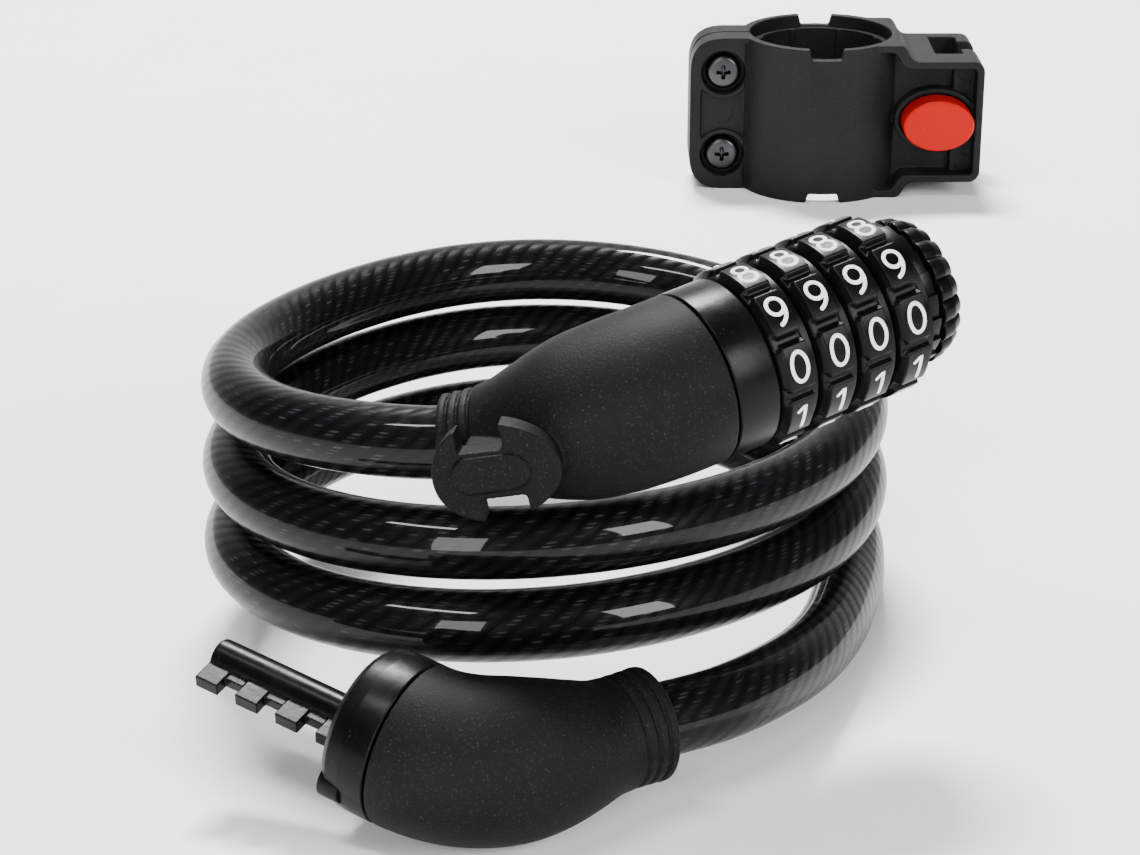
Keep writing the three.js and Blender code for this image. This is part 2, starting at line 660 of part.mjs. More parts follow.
function bracketClamp() {
  const ring = rod(RING_OUTER, 0, BRACKET_HEIGHT, 40);
  const lips = plateXZ(lipShape(), -LIP_DEPTH, LIP_DEPTH);
  const box = plateXZ(boxShape(0), BOX_FRONT, BOX_BACK);
  const pocket = cut(
    plateXZ(boxShape(WALL), BOX_FRONT - 5, POCKET_FLOOR),
    rod(RING_OUTER, -5, BRACKET_HEIGHT + 5, 40),
  );
  const boss = pocketBoss();
  const rib = block(RING_OUTER - 2, BUTTON_X - 10.4, -12.4, POCKET_FLOOR + 1, BUTTON_Z - 1.2, BUTTON_Z + 1.2);
  const hollowed = join(cut(join(ring, lips, box), pocket), boss.outer, rib);
  const top = BRACKET_HEIGHT + 5;
  return cut(
    hollowed,
    boss.inner,
    rod(RING_BORE, -5, BRACKET_HEIGHT + 5, 40),
    block(LIP_LEFT - 5, -RING_BORE + 3, -LIP_SLIT / 2, LIP_SLIT / 2, -5, top),
    block(CHANNEL.left, CHANNEL.right, CHANNEL.front, CHANNEL.back, CHANNEL.floor, top),
    block(CHANNEL.right - 1, BOX_RIGHT + 5, CHANNEL_MOUTH.front, CHANNEL_MOUTH.back, CHANNEL.floor, top),
    rod(STEM_RADIUS + GAP, -10, 20, 16).rotateX(Math.PI / 2).translate(BUTTON_X + 3.6, 0, BUTTON_Z),
    notch(-30, -10, true),
    notch(10, 30, true),
    notch(-30, -10, false),
    ...SCREW_HEIGHTS.flatMap(screwCuts),
    block(-33, -20.6, -LIP_DEPTH - 5, -LIP_DEPTH + 1.4, BUTTON_Z - 3.6, BUTTON_Z + 3.6),
  );
}

// The rubber liner grips the frame tube: a split sleeve with shallow ribs inside.
function clampLiner() {
  const sleeveBody = tube(RING_BORE - GAP, 16.9, 3, BRACKET_HEIGHT - 3.2, 40);
  const liningRibs = Array.from({ length: 8 }, (_, i) => {
    const rib = block(16.2, 17.4, -0.8, 0.8, 3, BRACKET_HEIGHT - 3.2);
    return rib.rotateZ((i + 0.5) * Math.PI / 4);
  });
  return cut(join(sleeveBody, ...liningRibs), block(-30, 0, -0.8, 0.8, -5, 60));
}

function clampScrew() {
  const body = turned([
    [0, -10.6], [2.5, -10.6], [2.5, 4.1], [4.7, 4.1], [4.7, 5.6], [4.1, 6.6], [2.4, 7.1], [0, 7.1],
  ], 20);
  const crossA = block(-2.3, 2.3, -0.55, 0.55, 5.2, 10);
  const crossB = block(-0.55, 0.55, -2.3, 2.3, 5.2, 10);
  return cut(body, crossA, crossB);
}

function clampNut() {
  return cut(rod(4.6, -LIP_DEPTH + 0.2, -LIP_DEPTH + 3.7, 6), rod(2.8, -20, 20, 16));
}

// The button is an oval cup with a stem; the spring sits inside the cup.
function releaseButton() {
  const [halfWidth, halfHeight] = BUTTON_HALF;
  const cup = plateXZ(ellipse(halfWidth, halfHeight, 0, 0), BUTTON_FRONT + 0.8, BUTTON_BACK, 14);
  const face = plateXZ(ellipse(halfWidth - 0.8, halfHeight - 0.8, 0, 0), BUTTON_FRONT, BUTTON_FRONT + 1, 14);
  const hollow = plateXZ(ellipse(halfWidth - 1.8, halfHeight - 1.8, 0, 0), BUTTON_FRONT + 2.6, BUTTON_BACK + 1, 14);
  const stem = rod(STEM_RADIUS, -STEM_END, -BUTTON_FRONT - 1, 16).rotateX(Math.PI / 2).translate(3.6, 0, 0);
  return join(cut(join(cup, face), hollow), stem);
}

function latchCatch() {
  const bar = block(0.6, 6.2, STEM_END + GAP, STEM_END + 2.6, -5.5, 4.5);
  const nose = block(0.6, 6.2, STEM_END + 2, STEM_END + 4.2, -5.5, 0);
  return join(bar, nose);
}

function addBracket(parent) {
  const bracket = new THREE.Group();
  bracket.position.copy(BRACKET_CENTRE);
  parent.add(bracket);
  add(bracket, "bracket_clamp", bracketClamp(), finishes.bracket);
  add(bracket, "clamp_liner", clampLiner(), finishes.rubber);
  SCREW_HEIGHTS.forEach((height, i) => {
    const joint = new THREE.Group();
    joint.position.set(SCREW_X, 0, height);
    joint.rotation.x = Math.PI / 2;
    bracket.add(joint);
    add(joint, `clamp_screw_${i + 1}`, clampScrew(), finishes.blackSteel);
    add(joint, `clamp_nut_${i + 1}`, clampNut(), finishes.blackSteel);
  });
  const release = new THREE.Group();
  release.position.set(BUTTON_X, 0, BUTTON_Z);
  bracket.add(release);
  add(release, "release_button", releaseButton(), finishes.button);
  add(release, "latch_catch", latchCatch(), finishes.steel);
  const spring = coilSpring(3.4, 0.35, 9.6, 16.8, 4).rotateX(Math.PI / 2).translate(3.6, 0, 0);
  add(release, "button_spring", spring, finishes.steel);
}

const part = new THREE.Group();
const lock = new THREE.Group();
lock.position.copy(COIL_CENTRE);
part.add(lock);
addCable(lock);
addHead(lock);
addPlug(lock);
addBracket(part);

export default part;
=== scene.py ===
"""Looks for a coiled cable combination lock and its carrier bracket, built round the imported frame.

Shapes are drawn in millimetres, with Z along the piece's own axis, and an object becomes metres when
it is finished. Angles are in degrees unless a name says otherwise.
"""

import json
import math

import bmesh
import bpy
import numpy as np
from mathutils import Matrix, Vector


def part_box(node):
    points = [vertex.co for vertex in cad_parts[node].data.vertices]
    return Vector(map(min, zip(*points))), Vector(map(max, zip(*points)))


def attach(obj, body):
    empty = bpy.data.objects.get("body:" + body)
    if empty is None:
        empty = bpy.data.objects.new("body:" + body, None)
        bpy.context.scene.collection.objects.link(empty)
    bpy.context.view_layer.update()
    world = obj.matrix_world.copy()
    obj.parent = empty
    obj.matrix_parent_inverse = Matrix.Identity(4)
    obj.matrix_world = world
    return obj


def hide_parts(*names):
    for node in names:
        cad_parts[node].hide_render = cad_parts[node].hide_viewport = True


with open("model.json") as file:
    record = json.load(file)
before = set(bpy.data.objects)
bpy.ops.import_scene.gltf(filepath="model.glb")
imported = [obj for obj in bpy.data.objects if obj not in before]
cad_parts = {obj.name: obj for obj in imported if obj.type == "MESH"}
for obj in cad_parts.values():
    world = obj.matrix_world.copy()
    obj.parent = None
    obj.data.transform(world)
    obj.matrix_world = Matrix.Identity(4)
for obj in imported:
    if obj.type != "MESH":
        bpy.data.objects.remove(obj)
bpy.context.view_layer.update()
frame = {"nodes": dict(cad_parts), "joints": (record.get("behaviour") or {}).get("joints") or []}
JOINTS = {joint["name"]: joint for joint in frame["joints"]}

MM = 0.001
UP = np.array([0.0, 0.0, 1.0])

# Camera, in front of the lock, above it and tilted down, in metres.
CAMERA_PLACE = (-0.0251, -0.5526, 0.2198)
CAMERA_DOWN = 22
CAMERA_LENS = 87.16
CAMERA_SENSOR = 36

# Cable route, from the coil's own centre on the floor. It repeats the CAD model's route.
COIL_CENTRE = np.array([-30.0, -89.0, 0.0])
CABLE_RADIUS = 6
COIL_START = 17
COIL_END = 990
COIL_POINT_EVERY = 16
COIL_RADIUS = 54.9
COIL_OVAL = 4.9
COIL_OVAL_TURN = 44
COIL_SHIFT = (1.6, 2.5, 0)
COIL_FORWARD_PER_TURN = 2.9
COIL_TOP = 46.8
COIL_PITCH = 11.1
COIL_PITCH_GROWTH = 0.77
COIL_LEAN_FRONT = -1.2
COIL_LEAN_SIDE = 2.2
COIL_SADDLE = 1.4
HEAD_LIFT = 4.6
HEAD_LIFT_SPREAD = 70
LEAD = [(53.6, -19.8, 7.2), (49.9, -33.6, 8.1), (44.8, -46.6, 9.6), (37.7, -58.6, 11.2), (28.6, -69.4, 12.6)]
CABLE_IN_HEAD = 22
CABLE_IN_PLUG = 17
RIB_PITCH = 2.1

# Where the boots begin and end. The head's axis and seam are the dials' joint.
HEAD_AXIS = np.array(JOINTS["dial_1_turn"]["axis"])
HEAD_SEAM = np.array(JOINTS["dial_1_turn"]["pos_m"]) / MM
HEAD_ENTRY_AXIS = np.array([0.985, -0.12, 0.12])
HEAD_EASES = (12, 15)
PLUG_ENTRY = COIL_CENTRE + (17.6, -77, 13.3)
PLUG_ENTRY_AXIS = np.array([-0.85, -0.52, 0])
PLUG_SEAM = COIL_CENTRE + (-19.6, -87.7, 15.2)
PLUG_AXIS = np.array([-0.852, 0.494, 0.17])
PLUG_EASES = (15, 15)

# Carrier lug on the head's boot, seen from outside with X along the boot.
LUG_ALONG = 10.7
LUG_TILT = -3
LUG_OUT = 16.5
LUG_THICKNESS = 4

# Head, along its axis from the seam.
HEAD_RADIUS = 14.3
COLLAR_LENGTH = 7.8
DIAL_COUNT = 4
DIAL_PITCH = 7.7
DIAL_WIDTH = 7.4
DIALS_START = 8.1
CODE_LINE = 169
DIGIT_STEP = 36
DIAL_TOP = 15.2
DIAL_VALLEY = 14.2
DIAL_BAND = 13.9
DIAL_BAND_WIDTH = 1.7
PAD_SLOPE = 1.2
DIAL_BORE = 10.8
BARREL_RADIUS = 6.2
BARREL_BORE = 3.5
KNOB_START = DIALS_START + DIAL_COUNT * DIAL_PITCH
KNOB_LENGTH = 7.3
KNOB_FLUTES = 20
CLIP_GROOVE = KNOB_START + 3.4
BARREL_END = KNOB_START + 5.1

# Plug, along its axis from the seam.
PLUG_RADIUS = 13.3
PLUG_COLLAR_END = 8.3
BOLT_RADIUS = 3
BOLT_ROOT = -5.2
FIRST_TOOTH = 11.3
TOOTH_LENGTH = 4.2
TOOTH_THICKNESS = 2.2
TOOTH_REACH = 6.6
WEB_REACH = 4.4
TOOTH_TILT = -15
BOLT_TIP = FIRST_TOOTH + (DIAL_COUNT - 1) * DIAL_PITCH + 2.3

# Bracket, from the foot of the ring's axis, with X to the right and Y to the back.
BRACKET_HEIGHT = 41.5
LIP_LEFT = -35
LIP_DEPTH = 7.5
RING_BORE = 18.9
RING_OUTER = 21.2
LINER_RIB_STEP = 45
SCREW_X = -26.2
SCREW_HEIGHTS = (9.45, 32.05)
BOX_LOW = 4.3
BOX_RIGHT = 42.2
BOX_DEPTH = 16
BUTTON_X = 30.2
BUTTON_HALF = (9.4, 6.8)
STEM_OFF = 3.6
bracket_low, bracket_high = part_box("bracket_clamp")
BRACKET_FOOT = np.array([
    bracket_low.x / MM - LIP_LEFT,
    (bracket_low.y + bracket_high.y) / 2 / MM,
    bracket_low.z / MM,
])


# ---------- shapes: a shape is (points, faces) ----------

def ring_points(radius, z, count):
    """Points round Z. The radius is one number or one for each point."""
    turn = np.arange(count) * 2 * math.pi / count
    radius = np.broadcast_to(radius, count)
    return np.stack([radius * np.cos(turn), radius * np.sin(turn), np.full(count, float(z))], axis=1)


def skin(rows, closed=False):
    """A closed surface through rings of points: it has end caps, or it closes on itself."""
    rows = np.asarray(rows, float)
    count, around = rows.shape[:2]
    faces = []
    for k in range(count if closed else count - 1):
        here = k * around
        there = (k + 1) % count * around
        for i in range(around):
            j = (i + 1) % around
            faces.append((here + i, here + j, there + j, there + i))
    if not closed:
        faces.append(tuple(range(around - 1, -1, -1)))
        faces.append(tuple((count - 1) * around + i for i in range(around)))
    return rows.reshape(-1, 3), faces


def eased(points, radius, steps=4, closed=False):
    """A line of 2-D points with its corners rounded. The radius is one number or one for each point."""
    points = [np.array(p, float) for p in points]
    radii = np.broadcast_to(radius, len(points))
    made = []
    for i, corner in enumerate(points):
        if not closed and i in (0, len(points) - 1):
            made.append(corner)
            continue
        before = points[i - 1]
        after = points[(i + 1) % len(points)]
        inward, outward = before - corner, after - corner
        long_in, long_out = np.linalg.norm(inward), np.linalg.norm(outward)
        inward, outward = inward / long_in, outward / long_out
        half = math.acos(np.clip(inward @ outward, -1, 1)) / 2
        if radii[i] <= 0 or half > math.radians(88):
            made.append(corner)
            continue
        back = min(radii[i] / math.tan(half), 0.48 * long_in, 0.48 * long_out)
        start, end = corner + inward * back, corner + outward * back
        for k in range(steps + 1):
            t = k / steps
            made.append((1 - t) ** 2 * start + 2 * t * (1 - t) * corner + t * t * end)
    return made


def turned(profile, around=128, closed=False):
    """A body of revolution from (radius, z) points that run up the outside."""
    return skin([ring_points(max(r, 0.001), z, around) for r, z in profile], closed)


def prism(outline, low, high, edge=0.0, steps=3):
    """An outline in X and Y, drawn anticlockwise, as high as from low to high, with rounded edges."""
    outline = np.array(outline, float)
    run = np.roll(outline, -1, axis=0) - np.roll(outline, 1, axis=0)
    inward = np.stack([-run[:, 1], run[:, 0]], axis=1) / np.linalg.norm(run, axis=1)[:, None]
    levels = [(edge, low), (0, low), (0, high), (edge, high)] if edge else [(0, low), (0, high)]
    levels = eased(levels, edge, steps) if edge else levels
    rows = []
    for inset, z in levels:
        flat = outline + inward * inset
        rows.append(np.column_stack([flat, np.full(len(flat), z)]))
    return skin(rows)


def slab(x0, x1, y0, y1, z0, z1, corner=0.0, edge=0.0):
    """A plate standing on XY with rounded corners and edges."""
    outline = [(x0, y0), (x1, y0), (x1, y1), (x0, y1)]
    return prism(eased(outline, corner, 4, closed=True) if corner else outline, z0, z1, edge)


def oval(half_width, half_height, x=0.0, y=0.0, count=64):
    """An oval's points, anticlockwise round (x, y)."""
    turn = np.arange(count) * 2 * math.pi / count
    return np.stack([x + half_width * np.cos(turn), y + half_height * np.sin(turn)], axis=1)


def moved(shape, matrix):
    points, faces = shape
    matrix = np.array(matrix, float)
    return points @ matrix[:3, :3].T + matrix[:3, 3], faces


def turned_by(shape, angle, axis="Z"):
    return moved(shape, Matrix.Rotation(math.radians(angle), 4, axis))


def shifted(shape, x=0.0, y=0.0, z=0.0):
    return moved(shape, Matrix.Translation((x, y, z)))


def facing_front(shape, y=0.0):
    """Turns a shape drawn on XY so that its Z points to the front, its X and Y being X and Z."""
    return shifted(turned_by(shape, 90, "X"), y=y)


def together(*shapes):
    points, faces, start = [], [], 0
    for some, corners in shapes:
        points.append(some)
        faces += [tuple(start + i for i in face) for face in corners]
        start += len(some)
    return np.concatenate(points), faces


def basis_along(axis):
    axis = np.array(axis, float) / np.linalg.norm(axis)
    side = np.cross(UP, axis)
    side /= np.linalg.norm(side)
    return np.stack([side, np.cross(axis, side), axis], axis=1)


class Bend:
    """A cubic curve through the middle of a boot, for laying a straight shape along it."""

    def __init__(self, start, start_axis, end, end_axis, eases):
        start_axis = np.array(start_axis) / np.linalg.norm(start_axis)
        end_axis = np.array(end_axis) / np.linalg.norm(end_axis)
        knots = [start, start + start_axis * eases[0], end - end_axis * eases[1], end]
        t = np.linspace(0, 1, 400)[:, None]
        weights = [(1 - t) ** 3, 3 * t * (1 - t) ** 2, 3 * t * t * (1 - t), t ** 3]
        self.points = sum(w * k for w, k in zip(weights, knots))
        slopes = [3 * (1 - t) ** 2, 6 * t * (1 - t), 3 * t * t]
        steps = [knots[i + 1] - knots[i] for i in range(3)]
        self.tangents = sum(s * d for s, d in zip(slopes, steps))
        self.tangents /= np.linalg.norm(self.tangents, axis=1)[:, None]
        gaps = np.linalg.norm(np.diff(self.points, axis=0), axis=1)
        self.travel = np.concatenate([[0], np.cumsum(gaps)])
        self.length = self.travel[-1]

    def at(self, distance):
        """The point and the axis at a distance along the curve, which runs on straight past its ends."""
        inside = np.clip(distance, 0, self.length)
        point = np.stack([np.interp(inside, self.travel, self.points[:, i]) for i in range(3)], axis=-1)
        axis = np.stack([np.interp(inside, self.travel, self.tangents[:, i]) for i in range(3)], axis=-1)
        axis /= np.linalg.norm(axis, axis=-1, keepdims=True)
        return point + axis * np.asarray(distance - inside)[..., None], axis

    def lay(self, shape):
        """A shape drawn along Z becomes one along the curve."""
        points, faces = shape
        place, axis = self.at(points[:, 2])
        side = np.cross(UP, axis)
        side /= np.linalg.norm(side, axis=1, keepdims=True)
        rise = np.cross(axis, side)
        return place + side * points[:, :1] + rise * points[:, 1:2], faces


def laid_on(shape, origin, axis=None):
    """A shape moved to an origin, with its Z along an axis."""
    points, faces = shape
    turn = np.eye(3) if axis is None else basis_along(axis)
    return points @ turn.T + np.array(origin), faces


# ---------- objects ----------

def mesh_of(name, shape):
    mesh = bpy.data.meshes.new(name)
    points, faces = shape
    mesh.from_pydata([tuple(p) for p in points], [], faces)
    mesh.validate()
    body = bmesh.new()
    body.from_mesh(mesh)
    bmesh.ops.recalc_face_normals(body, faces=body.faces)
    body.to_mesh(mesh)
    body.free()
    return mesh


def object_of(name, shape):
    thing = bpy.data.objects.new(name, mesh_of(name, shape))
    bpy.context.scene.collection.objects.link(thing)
    return thing


def shape_of(thing):
    """The shape that an object has, without the object."""
    points = np.array([vertex.co for vertex in thing.data.vertices])
    faces = [tuple(polygon.vertices) for polygon in thing.data.polygons]
    bpy.data.objects.remove(thing)
    return points, faces


def applied(thing):
    """The object with its modifiers made part of its mesh."""
    graph = bpy.context.evaluated_depsgraph_get()
    mesh = bpy.data.meshes.new_from_object(thing.evaluated_get(graph))
    old = thing.data
    thing.modifiers.clear()
    thing.data = mesh
    bpy.data.meshes.remove(old)
    return thing


def carved(thing, *steps):
    """Joins and cuts in order. Each step is ("UNION" or "DIFFERENCE", shape)."""
    tools = []
    for kind, shape in steps:
        tool = object_of("tool", shape)
        tools.append(tool)
        change = thing.modifiers.new("change", "BOOLEAN")
        change.operation = kind
        change.solver = "EXACT"
        change.object = tool
    applied(thing)
    for tool in tools:
        bpy.data.objects.remove(tool)
    return thing


def moulded(thing, grain, rounds):
    """One even skin over everything in the object, with its edges softened as a mould leaves them."""
    skinned = thing.modifiers.new("skin", "REMESH")
    skinned.mode = "VOXEL"
    skinned.voxel_size = grain
    skinned.adaptivity = 0
    soft = thing.modifiers.new("soft", "SMOOTH")
    soft.factor = 0.5
    soft.iterations = rounds
    return applied(thing)


def finished(thing, body, look, slot, *nodes, sharp=30):
    """Metres, smooth shading, material, the CAD body it moves with and the CAD nodes it stands for."""
    mesh = thing.data
    mesh.transform(Matrix.Scale(MM, 4))
    mesh.polygons.foreach_set("use_smooth", [True] * len(mesh.polygons))
    mesh.set_sharp_from_angle(angle=math.radians(sharp))
    mesh.materials.clear()
    mesh.materials.append(look)
    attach(thing, body)
    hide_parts(*nodes)
    return thing


# ---------- materials ----------

def shader(name, **inputs):
    """A material with one Principled shader and what its nodes need to be added."""
    look = bpy.data.materials.new(name)
    look.use_nodes = True
    tree = look.node_tree
    surface = tree.nodes["Principled BSDF"]
    for key, value in inputs.items():
        surface.inputs[key.replace("_", " ")].default_value = value
    return look, tree, surface


def colour(red, green, blue):
    return (red, green, blue, 1)


def add_node(tree, kind, **values):
    node = tree.nodes.new("ShaderNode" + kind)
    for key, value in values.items():
        if hasattr(node, key):
            setattr(node, key, value)
        else:
            node.inputs[key.replace("_", " ")].default_value = value
    return node


def object_place(tree):
    return add_node(tree, "TexCoord").outputs["Object"]


def noise(tree, place, scale, detail=3.0, roughness=0.55):
    node = add_node(tree, "TexNoise", Scale=scale, Detail=detail, Roughness=roughness)
    tree.links.new(place, node.inputs["Vector"])
    return node.outputs["Fac"]


def ramp(tree, value, *stops):
    """A value turned into colours at stops of (position, grey or colour)."""
    node = add_node(tree, "ValToRGB")
    stops = [(at, tone if isinstance(tone, tuple) else colour(tone, tone, tone)) for at, tone in stops]
    elements = node.color_ramp.elements
    while len(elements) < len(stops):
        elements.new(0.5)
    for element, (at, tone) in zip(elements, stops):
        element.position = at
        element.color = tone
    tree.links.new(value, node.inputs["Fac"])
    return node.outputs["Color"]


def math_node(tree, operation, first, second=None, third=None):
    node = add_node(tree, "Math", operation=operation)
    for socket, value in zip(node.inputs, (first, second, third)):
        if isinstance(value, (int, float)):
            socket.default_value = value
        elif value is not None:
            tree.links.new(value, socket)
    return node.outputs["Value"]


def mixed(tree, share, first, second):
    node = add_node(tree, "Mix", data_type="RGBA")
    for socket, value in ((node.inputs[0], share), (node.inputs[6], first), (node.inputs[7], second)):
        if isinstance(value, tuple):
            socket.default_value = value
        else:
            tree.links.new(value, socket)
    return node.outputs[2]


def bump(tree, surface, height, depth, strength):
    node = add_node(tree, "Bump", Strength=strength, Distance=depth)
    tree.links.new(height, node.inputs["Height"])
    tree.links.new(node.outputs["Normal"], surface.inputs["Normal"])


def grained_plastic(name, dark, light, fleck, rough, grain_scale, grain_depth):
    """Moulded plastic with a fine eroded grain, paler flecks where the grain stands up, and uneven gloss."""
    look, tree, surface = shader(name, IOR=1.46, Specular_IOR_Level=0.11)
    place = object_place(tree)
    grain = noise(tree, place, grain_scale, 4.0, 0.65)
    patches = noise(tree, place, 45.0, 3.0, 0.6)
    base = mixed(tree, ramp(tree, patches, (0.35, 0.0), (0.65, 1.0)), dark, light)
    specks = ramp(tree, grain, (0.58, 0.0), (0.7, 1.0))
    tree.links.new(mixed(tree, specks, base, fleck), surface.inputs["Base Color"])
    shine = ramp(tree, patches, (0.3, rough - 0.05), (0.7, rough + 0.06))
    tree.links.new(shine, surface.inputs["Roughness"])
    bump(tree, surface, grain, grain_depth, 0.6)
    return look


def gloss_plastic(name, base, rough, speck):
    """A satin enamel with orange-peel, handling marks and a little dust."""
    look, tree, surface = shader(name, IOR=1.5, Specular_IOR_Level=0.1)
    place = object_place(tree)
    peel = noise(tree, place, 900.0, 2.0, 0.5)
    wipe = noise(tree, place, 130.0, 4.0, 0.7)
    dust = noise(tree, place, 2600.0, 1.0, 0.3)
    motes = ramp(tree, dust, (0.76, 0.0), (0.8, 1.0))
    tree.links.new(mixed(tree, motes, base, colour(speck, speck, speck)), surface.inputs["Base Color"])
    tree.links.new(ramp(tree, wipe, (0.3, rough - 0.06), (0.7, rough + 0.08)), surface.inputs["Roughness"])
    bump(tree, surface, peel, 0.00006, 0.35)
    return look


def metal(name, base, rough):
    """Bare or plated metal with fine tool marks and dull patches."""
    look, tree, surface = shader(name, Metallic=1.0)
    place = object_place(tree)
    marks = noise(tree, place, 700.0, 3.0, 0.6)
    patches = noise(tree, place, 90.0, 2.0, 0.5)
    darker = colour(*(0.6 * c for c in base[:3]))
    tree.links.new(mixed(tree, ramp(tree, patches, (0.3, 0.0), (0.7, 1.0)), darker, base),
                   surface.inputs["Base Color"])
    tree.links.new(ramp(tree, patches, (0.3, rough + 0.1), (0.7, rough - 0.04)), surface.inputs["Roughness"])
    bump(tree, surface, marks, 0.00005, 0.3)
    return look


ROPE_STRANDS = 12
ROPE_LAY = 0.043
WIRES_AROUND = 60


def stripe(tree, value, half_width, soft):
    """1 along the middle of each whole step of a value, falling to 0 at half_width + soft from it."""
    off = math_node(tree, "ABSOLUTE", math_node(tree, "SUBTRACT", math_node(tree, "FRACT", value), 0.5))
    return ramp(tree, off, (half_width, 1.0), (half_width + soft, 0.0))


def smoky_vinyl():
    """Clear smoky vinyl over a twisted rope: strands show below the gloss, and the glints of single wires are
    painted highlights in the base colour.
    """
    look, tree, surface = shader("smoky_vinyl", IOR=1.5, Specular_IOR_Level=0.03, Coat_Weight=0.36,
                                 Coat_Roughness=0.035, Coat_IOR=1.45)
    along = add_node(tree, "UVMap", uv_map="along").outputs["UV"]
    split = add_node(tree, "SeparateXYZ")
    tree.links.new(along, split.inputs["Vector"])
    distance, around = split.outputs["X"], split.outputs["Y"]

    twist = math_node(tree, "MULTIPLY_ADD", distance, 1 / ROPE_LAY, around)
    strand = math_node(tree, "MULTIPLY", twist, ROPE_STRANDS)
    wire = math_node(tree, "MULTIPLY", around, WIRES_AROUND)
    dash = math_node(tree, "MULTIPLY", stripe(tree, strand, 0.12, 0.12), stripe(tree, wire, 0.12, 0.2))
    crown = stripe(tree, strand, 0.1, 0.4)

    cell = add_node(tree, "CombineXYZ")
    tree.links.new(math_node(tree, "FLOOR", strand), cell.inputs["X"])
    tree.links.new(math_node(tree, "FLOOR", wire), cell.inputs["Y"])
    chance = add_node(tree, "TexWhiteNoise", noise_dimensions="2D")
    tree.links.new(cell.outputs["Vector"], chance.inputs["Vector"])
    luck = ramp(tree, chance.outputs["Value"], (0.4, 0.0), (1.0, 1.0))
    haze = noise(tree, object_place(tree), 60.0, 3.0, 0.6)
    clear = ramp(tree, haze, (0.4, 0.15), (0.6, 1.0))
    # painted highlight: the glints of single wires, on random dashes in noisy patches, painted into the base
    # colour
    painted_glint = math_node(tree, "MULTIPLY", math_node(tree, "MULTIPLY", dash, luck), clear)

    rope = mixed(tree, crown, colour(0.0014, 0.0014, 0.0016), colour(0.0036, 0.0036, 0.0042))
    # the light grey mixed in here is the painted glint of the wires, a painted highlight and not the rope's
    # own colour
    tree.links.new(mixed(tree, painted_glint, rope, colour(0.03, 0.031, 0.033)), surface.inputs["Base Color"])
    tree.links.new(ramp(tree, haze, (0.3, 0.3), (0.7, 0.42)), surface.inputs["Roughness"])
    bump(tree, surface, crown, 0.0002, 0.4)
    return look


LOOKS = {
    "boot": grained_plastic(
        "boot_plastic", dark=colour(0.002, 0.002, 0.0021), light=colour(0.0038, 0.0038, 0.004),
        fleck=colour(0.024, 0.024, 0.024), rough=0.56, grain_scale=2700.0, grain_depth=0.00014),
    "bracket": grained_plastic(
        "bracket_plastic", dark=colour(0.006, 0.0062, 0.0066), light=colour(0.0095, 0.0097, 0.0102),
        fleck=colour(0.025, 0.025, 0.026), rough=0.5, grain_scale=3000.0, grain_depth=0.0001),
    "rubber": grained_plastic(
        "liner_rubber", dark=colour(0.004, 0.004, 0.0042), light=colour(0.006, 0.006, 0.0062),
        fleck=colour(0.02, 0.02, 0.02), rough=0.72, grain_scale=1800.0, grain_depth=0.00008),
    "gloss": gloss_plastic("black_enamel", colour(0.0018, 0.0018, 0.002), 0.3, 0.03),
    "button": gloss_plastic("red_button", colour(0.36, 0.0012, 0.0002), 0.4, 0.3),
    "paint": gloss_plastic("digit_paint", colour(0.78, 0.78, 0.77), 0.5, 0.6),
    "black_steel": metal("black_zinc", colour(0.055, 0.055, 0.058), 0.34),
    "steel": metal("bright_steel", colour(0.5, 0.51, 0.52), 0.3),
    "zinc": metal("cast_zinc", colour(0.33, 0.34, 0.35), 0.45),
    "brass": metal("turned_brass", colour(0.6, 0.42, 0.17), 0.32),
    "sheath": smoky_vinyl(),
}


# ---------- camera, floor and light ----------

def add_camera():
    lens = bpy.data.cameras.new("camera")
    lens.sensor_width = CAMERA_SENSOR
    lens.lens = CAMERA_LENS
    lens.clip_start = 0.01
    camera = bpy.data.objects.new("camera", lens)
    camera.location = CAMERA_PLACE
    camera.rotation_euler = (math.radians(90 - CAMERA_DOWN), 0, 0)
    bpy.context.scene.collection.objects.link(camera)
    bpy.context.scene.camera = camera


def add_floor():
    """A wide pale sheet with a bent-up back edge far behind the object."""
    half_width, front, turn_up, top = 3000, -2500, 1500, 1600
    line = eased([(front, 0), (turn_up, 0), (turn_up + 300, top)], 500, 12)
    points = [(x, y, z) for y, z in line for x in (-half_width, half_width)]
    faces = [(2 * i, 2 * i + 1, 2 * i + 3, 2 * i + 2) for i in range(len(line) - 1)]
    floor = object_of("floor", (np.array(points, float), faces))
    floor.data.transform(Matrix.Scale(MM, 4))
    look, tree, surface = shader("pale_paper", Roughness=0.9)
    fibres = noise(tree, object_place(tree), 30.0, 2.0)
    tone = ramp(tree, fibres, (0.3, colour(0.86, 0.86, 0.86)), (0.7, colour(0.88, 0.88, 0.88)))
    tree.links.new(tone, surface.inputs["Base Color"])
    floor.data.materials.append(look)
    floor.data.polygons.foreach_set("use_smooth", [True] * len(floor.data.polygons))


def add_softbox(name, place, aim, width, height, power):
    lamp = bpy.data.lights.new(name, "AREA")
    lamp.shape = "RECTANGLE"
    lamp.size = width
    lamp.size_y = height
    lamp.energy = power
    thing = bpy.data.objects.new(name, lamp)
    thing.location = place
    thing.rotation_euler = (Vector(aim) - Vector(place)).to_track_quat("-Z", "Y").to_euler()
    bpy.context.scene.collection.objects.link(thing)


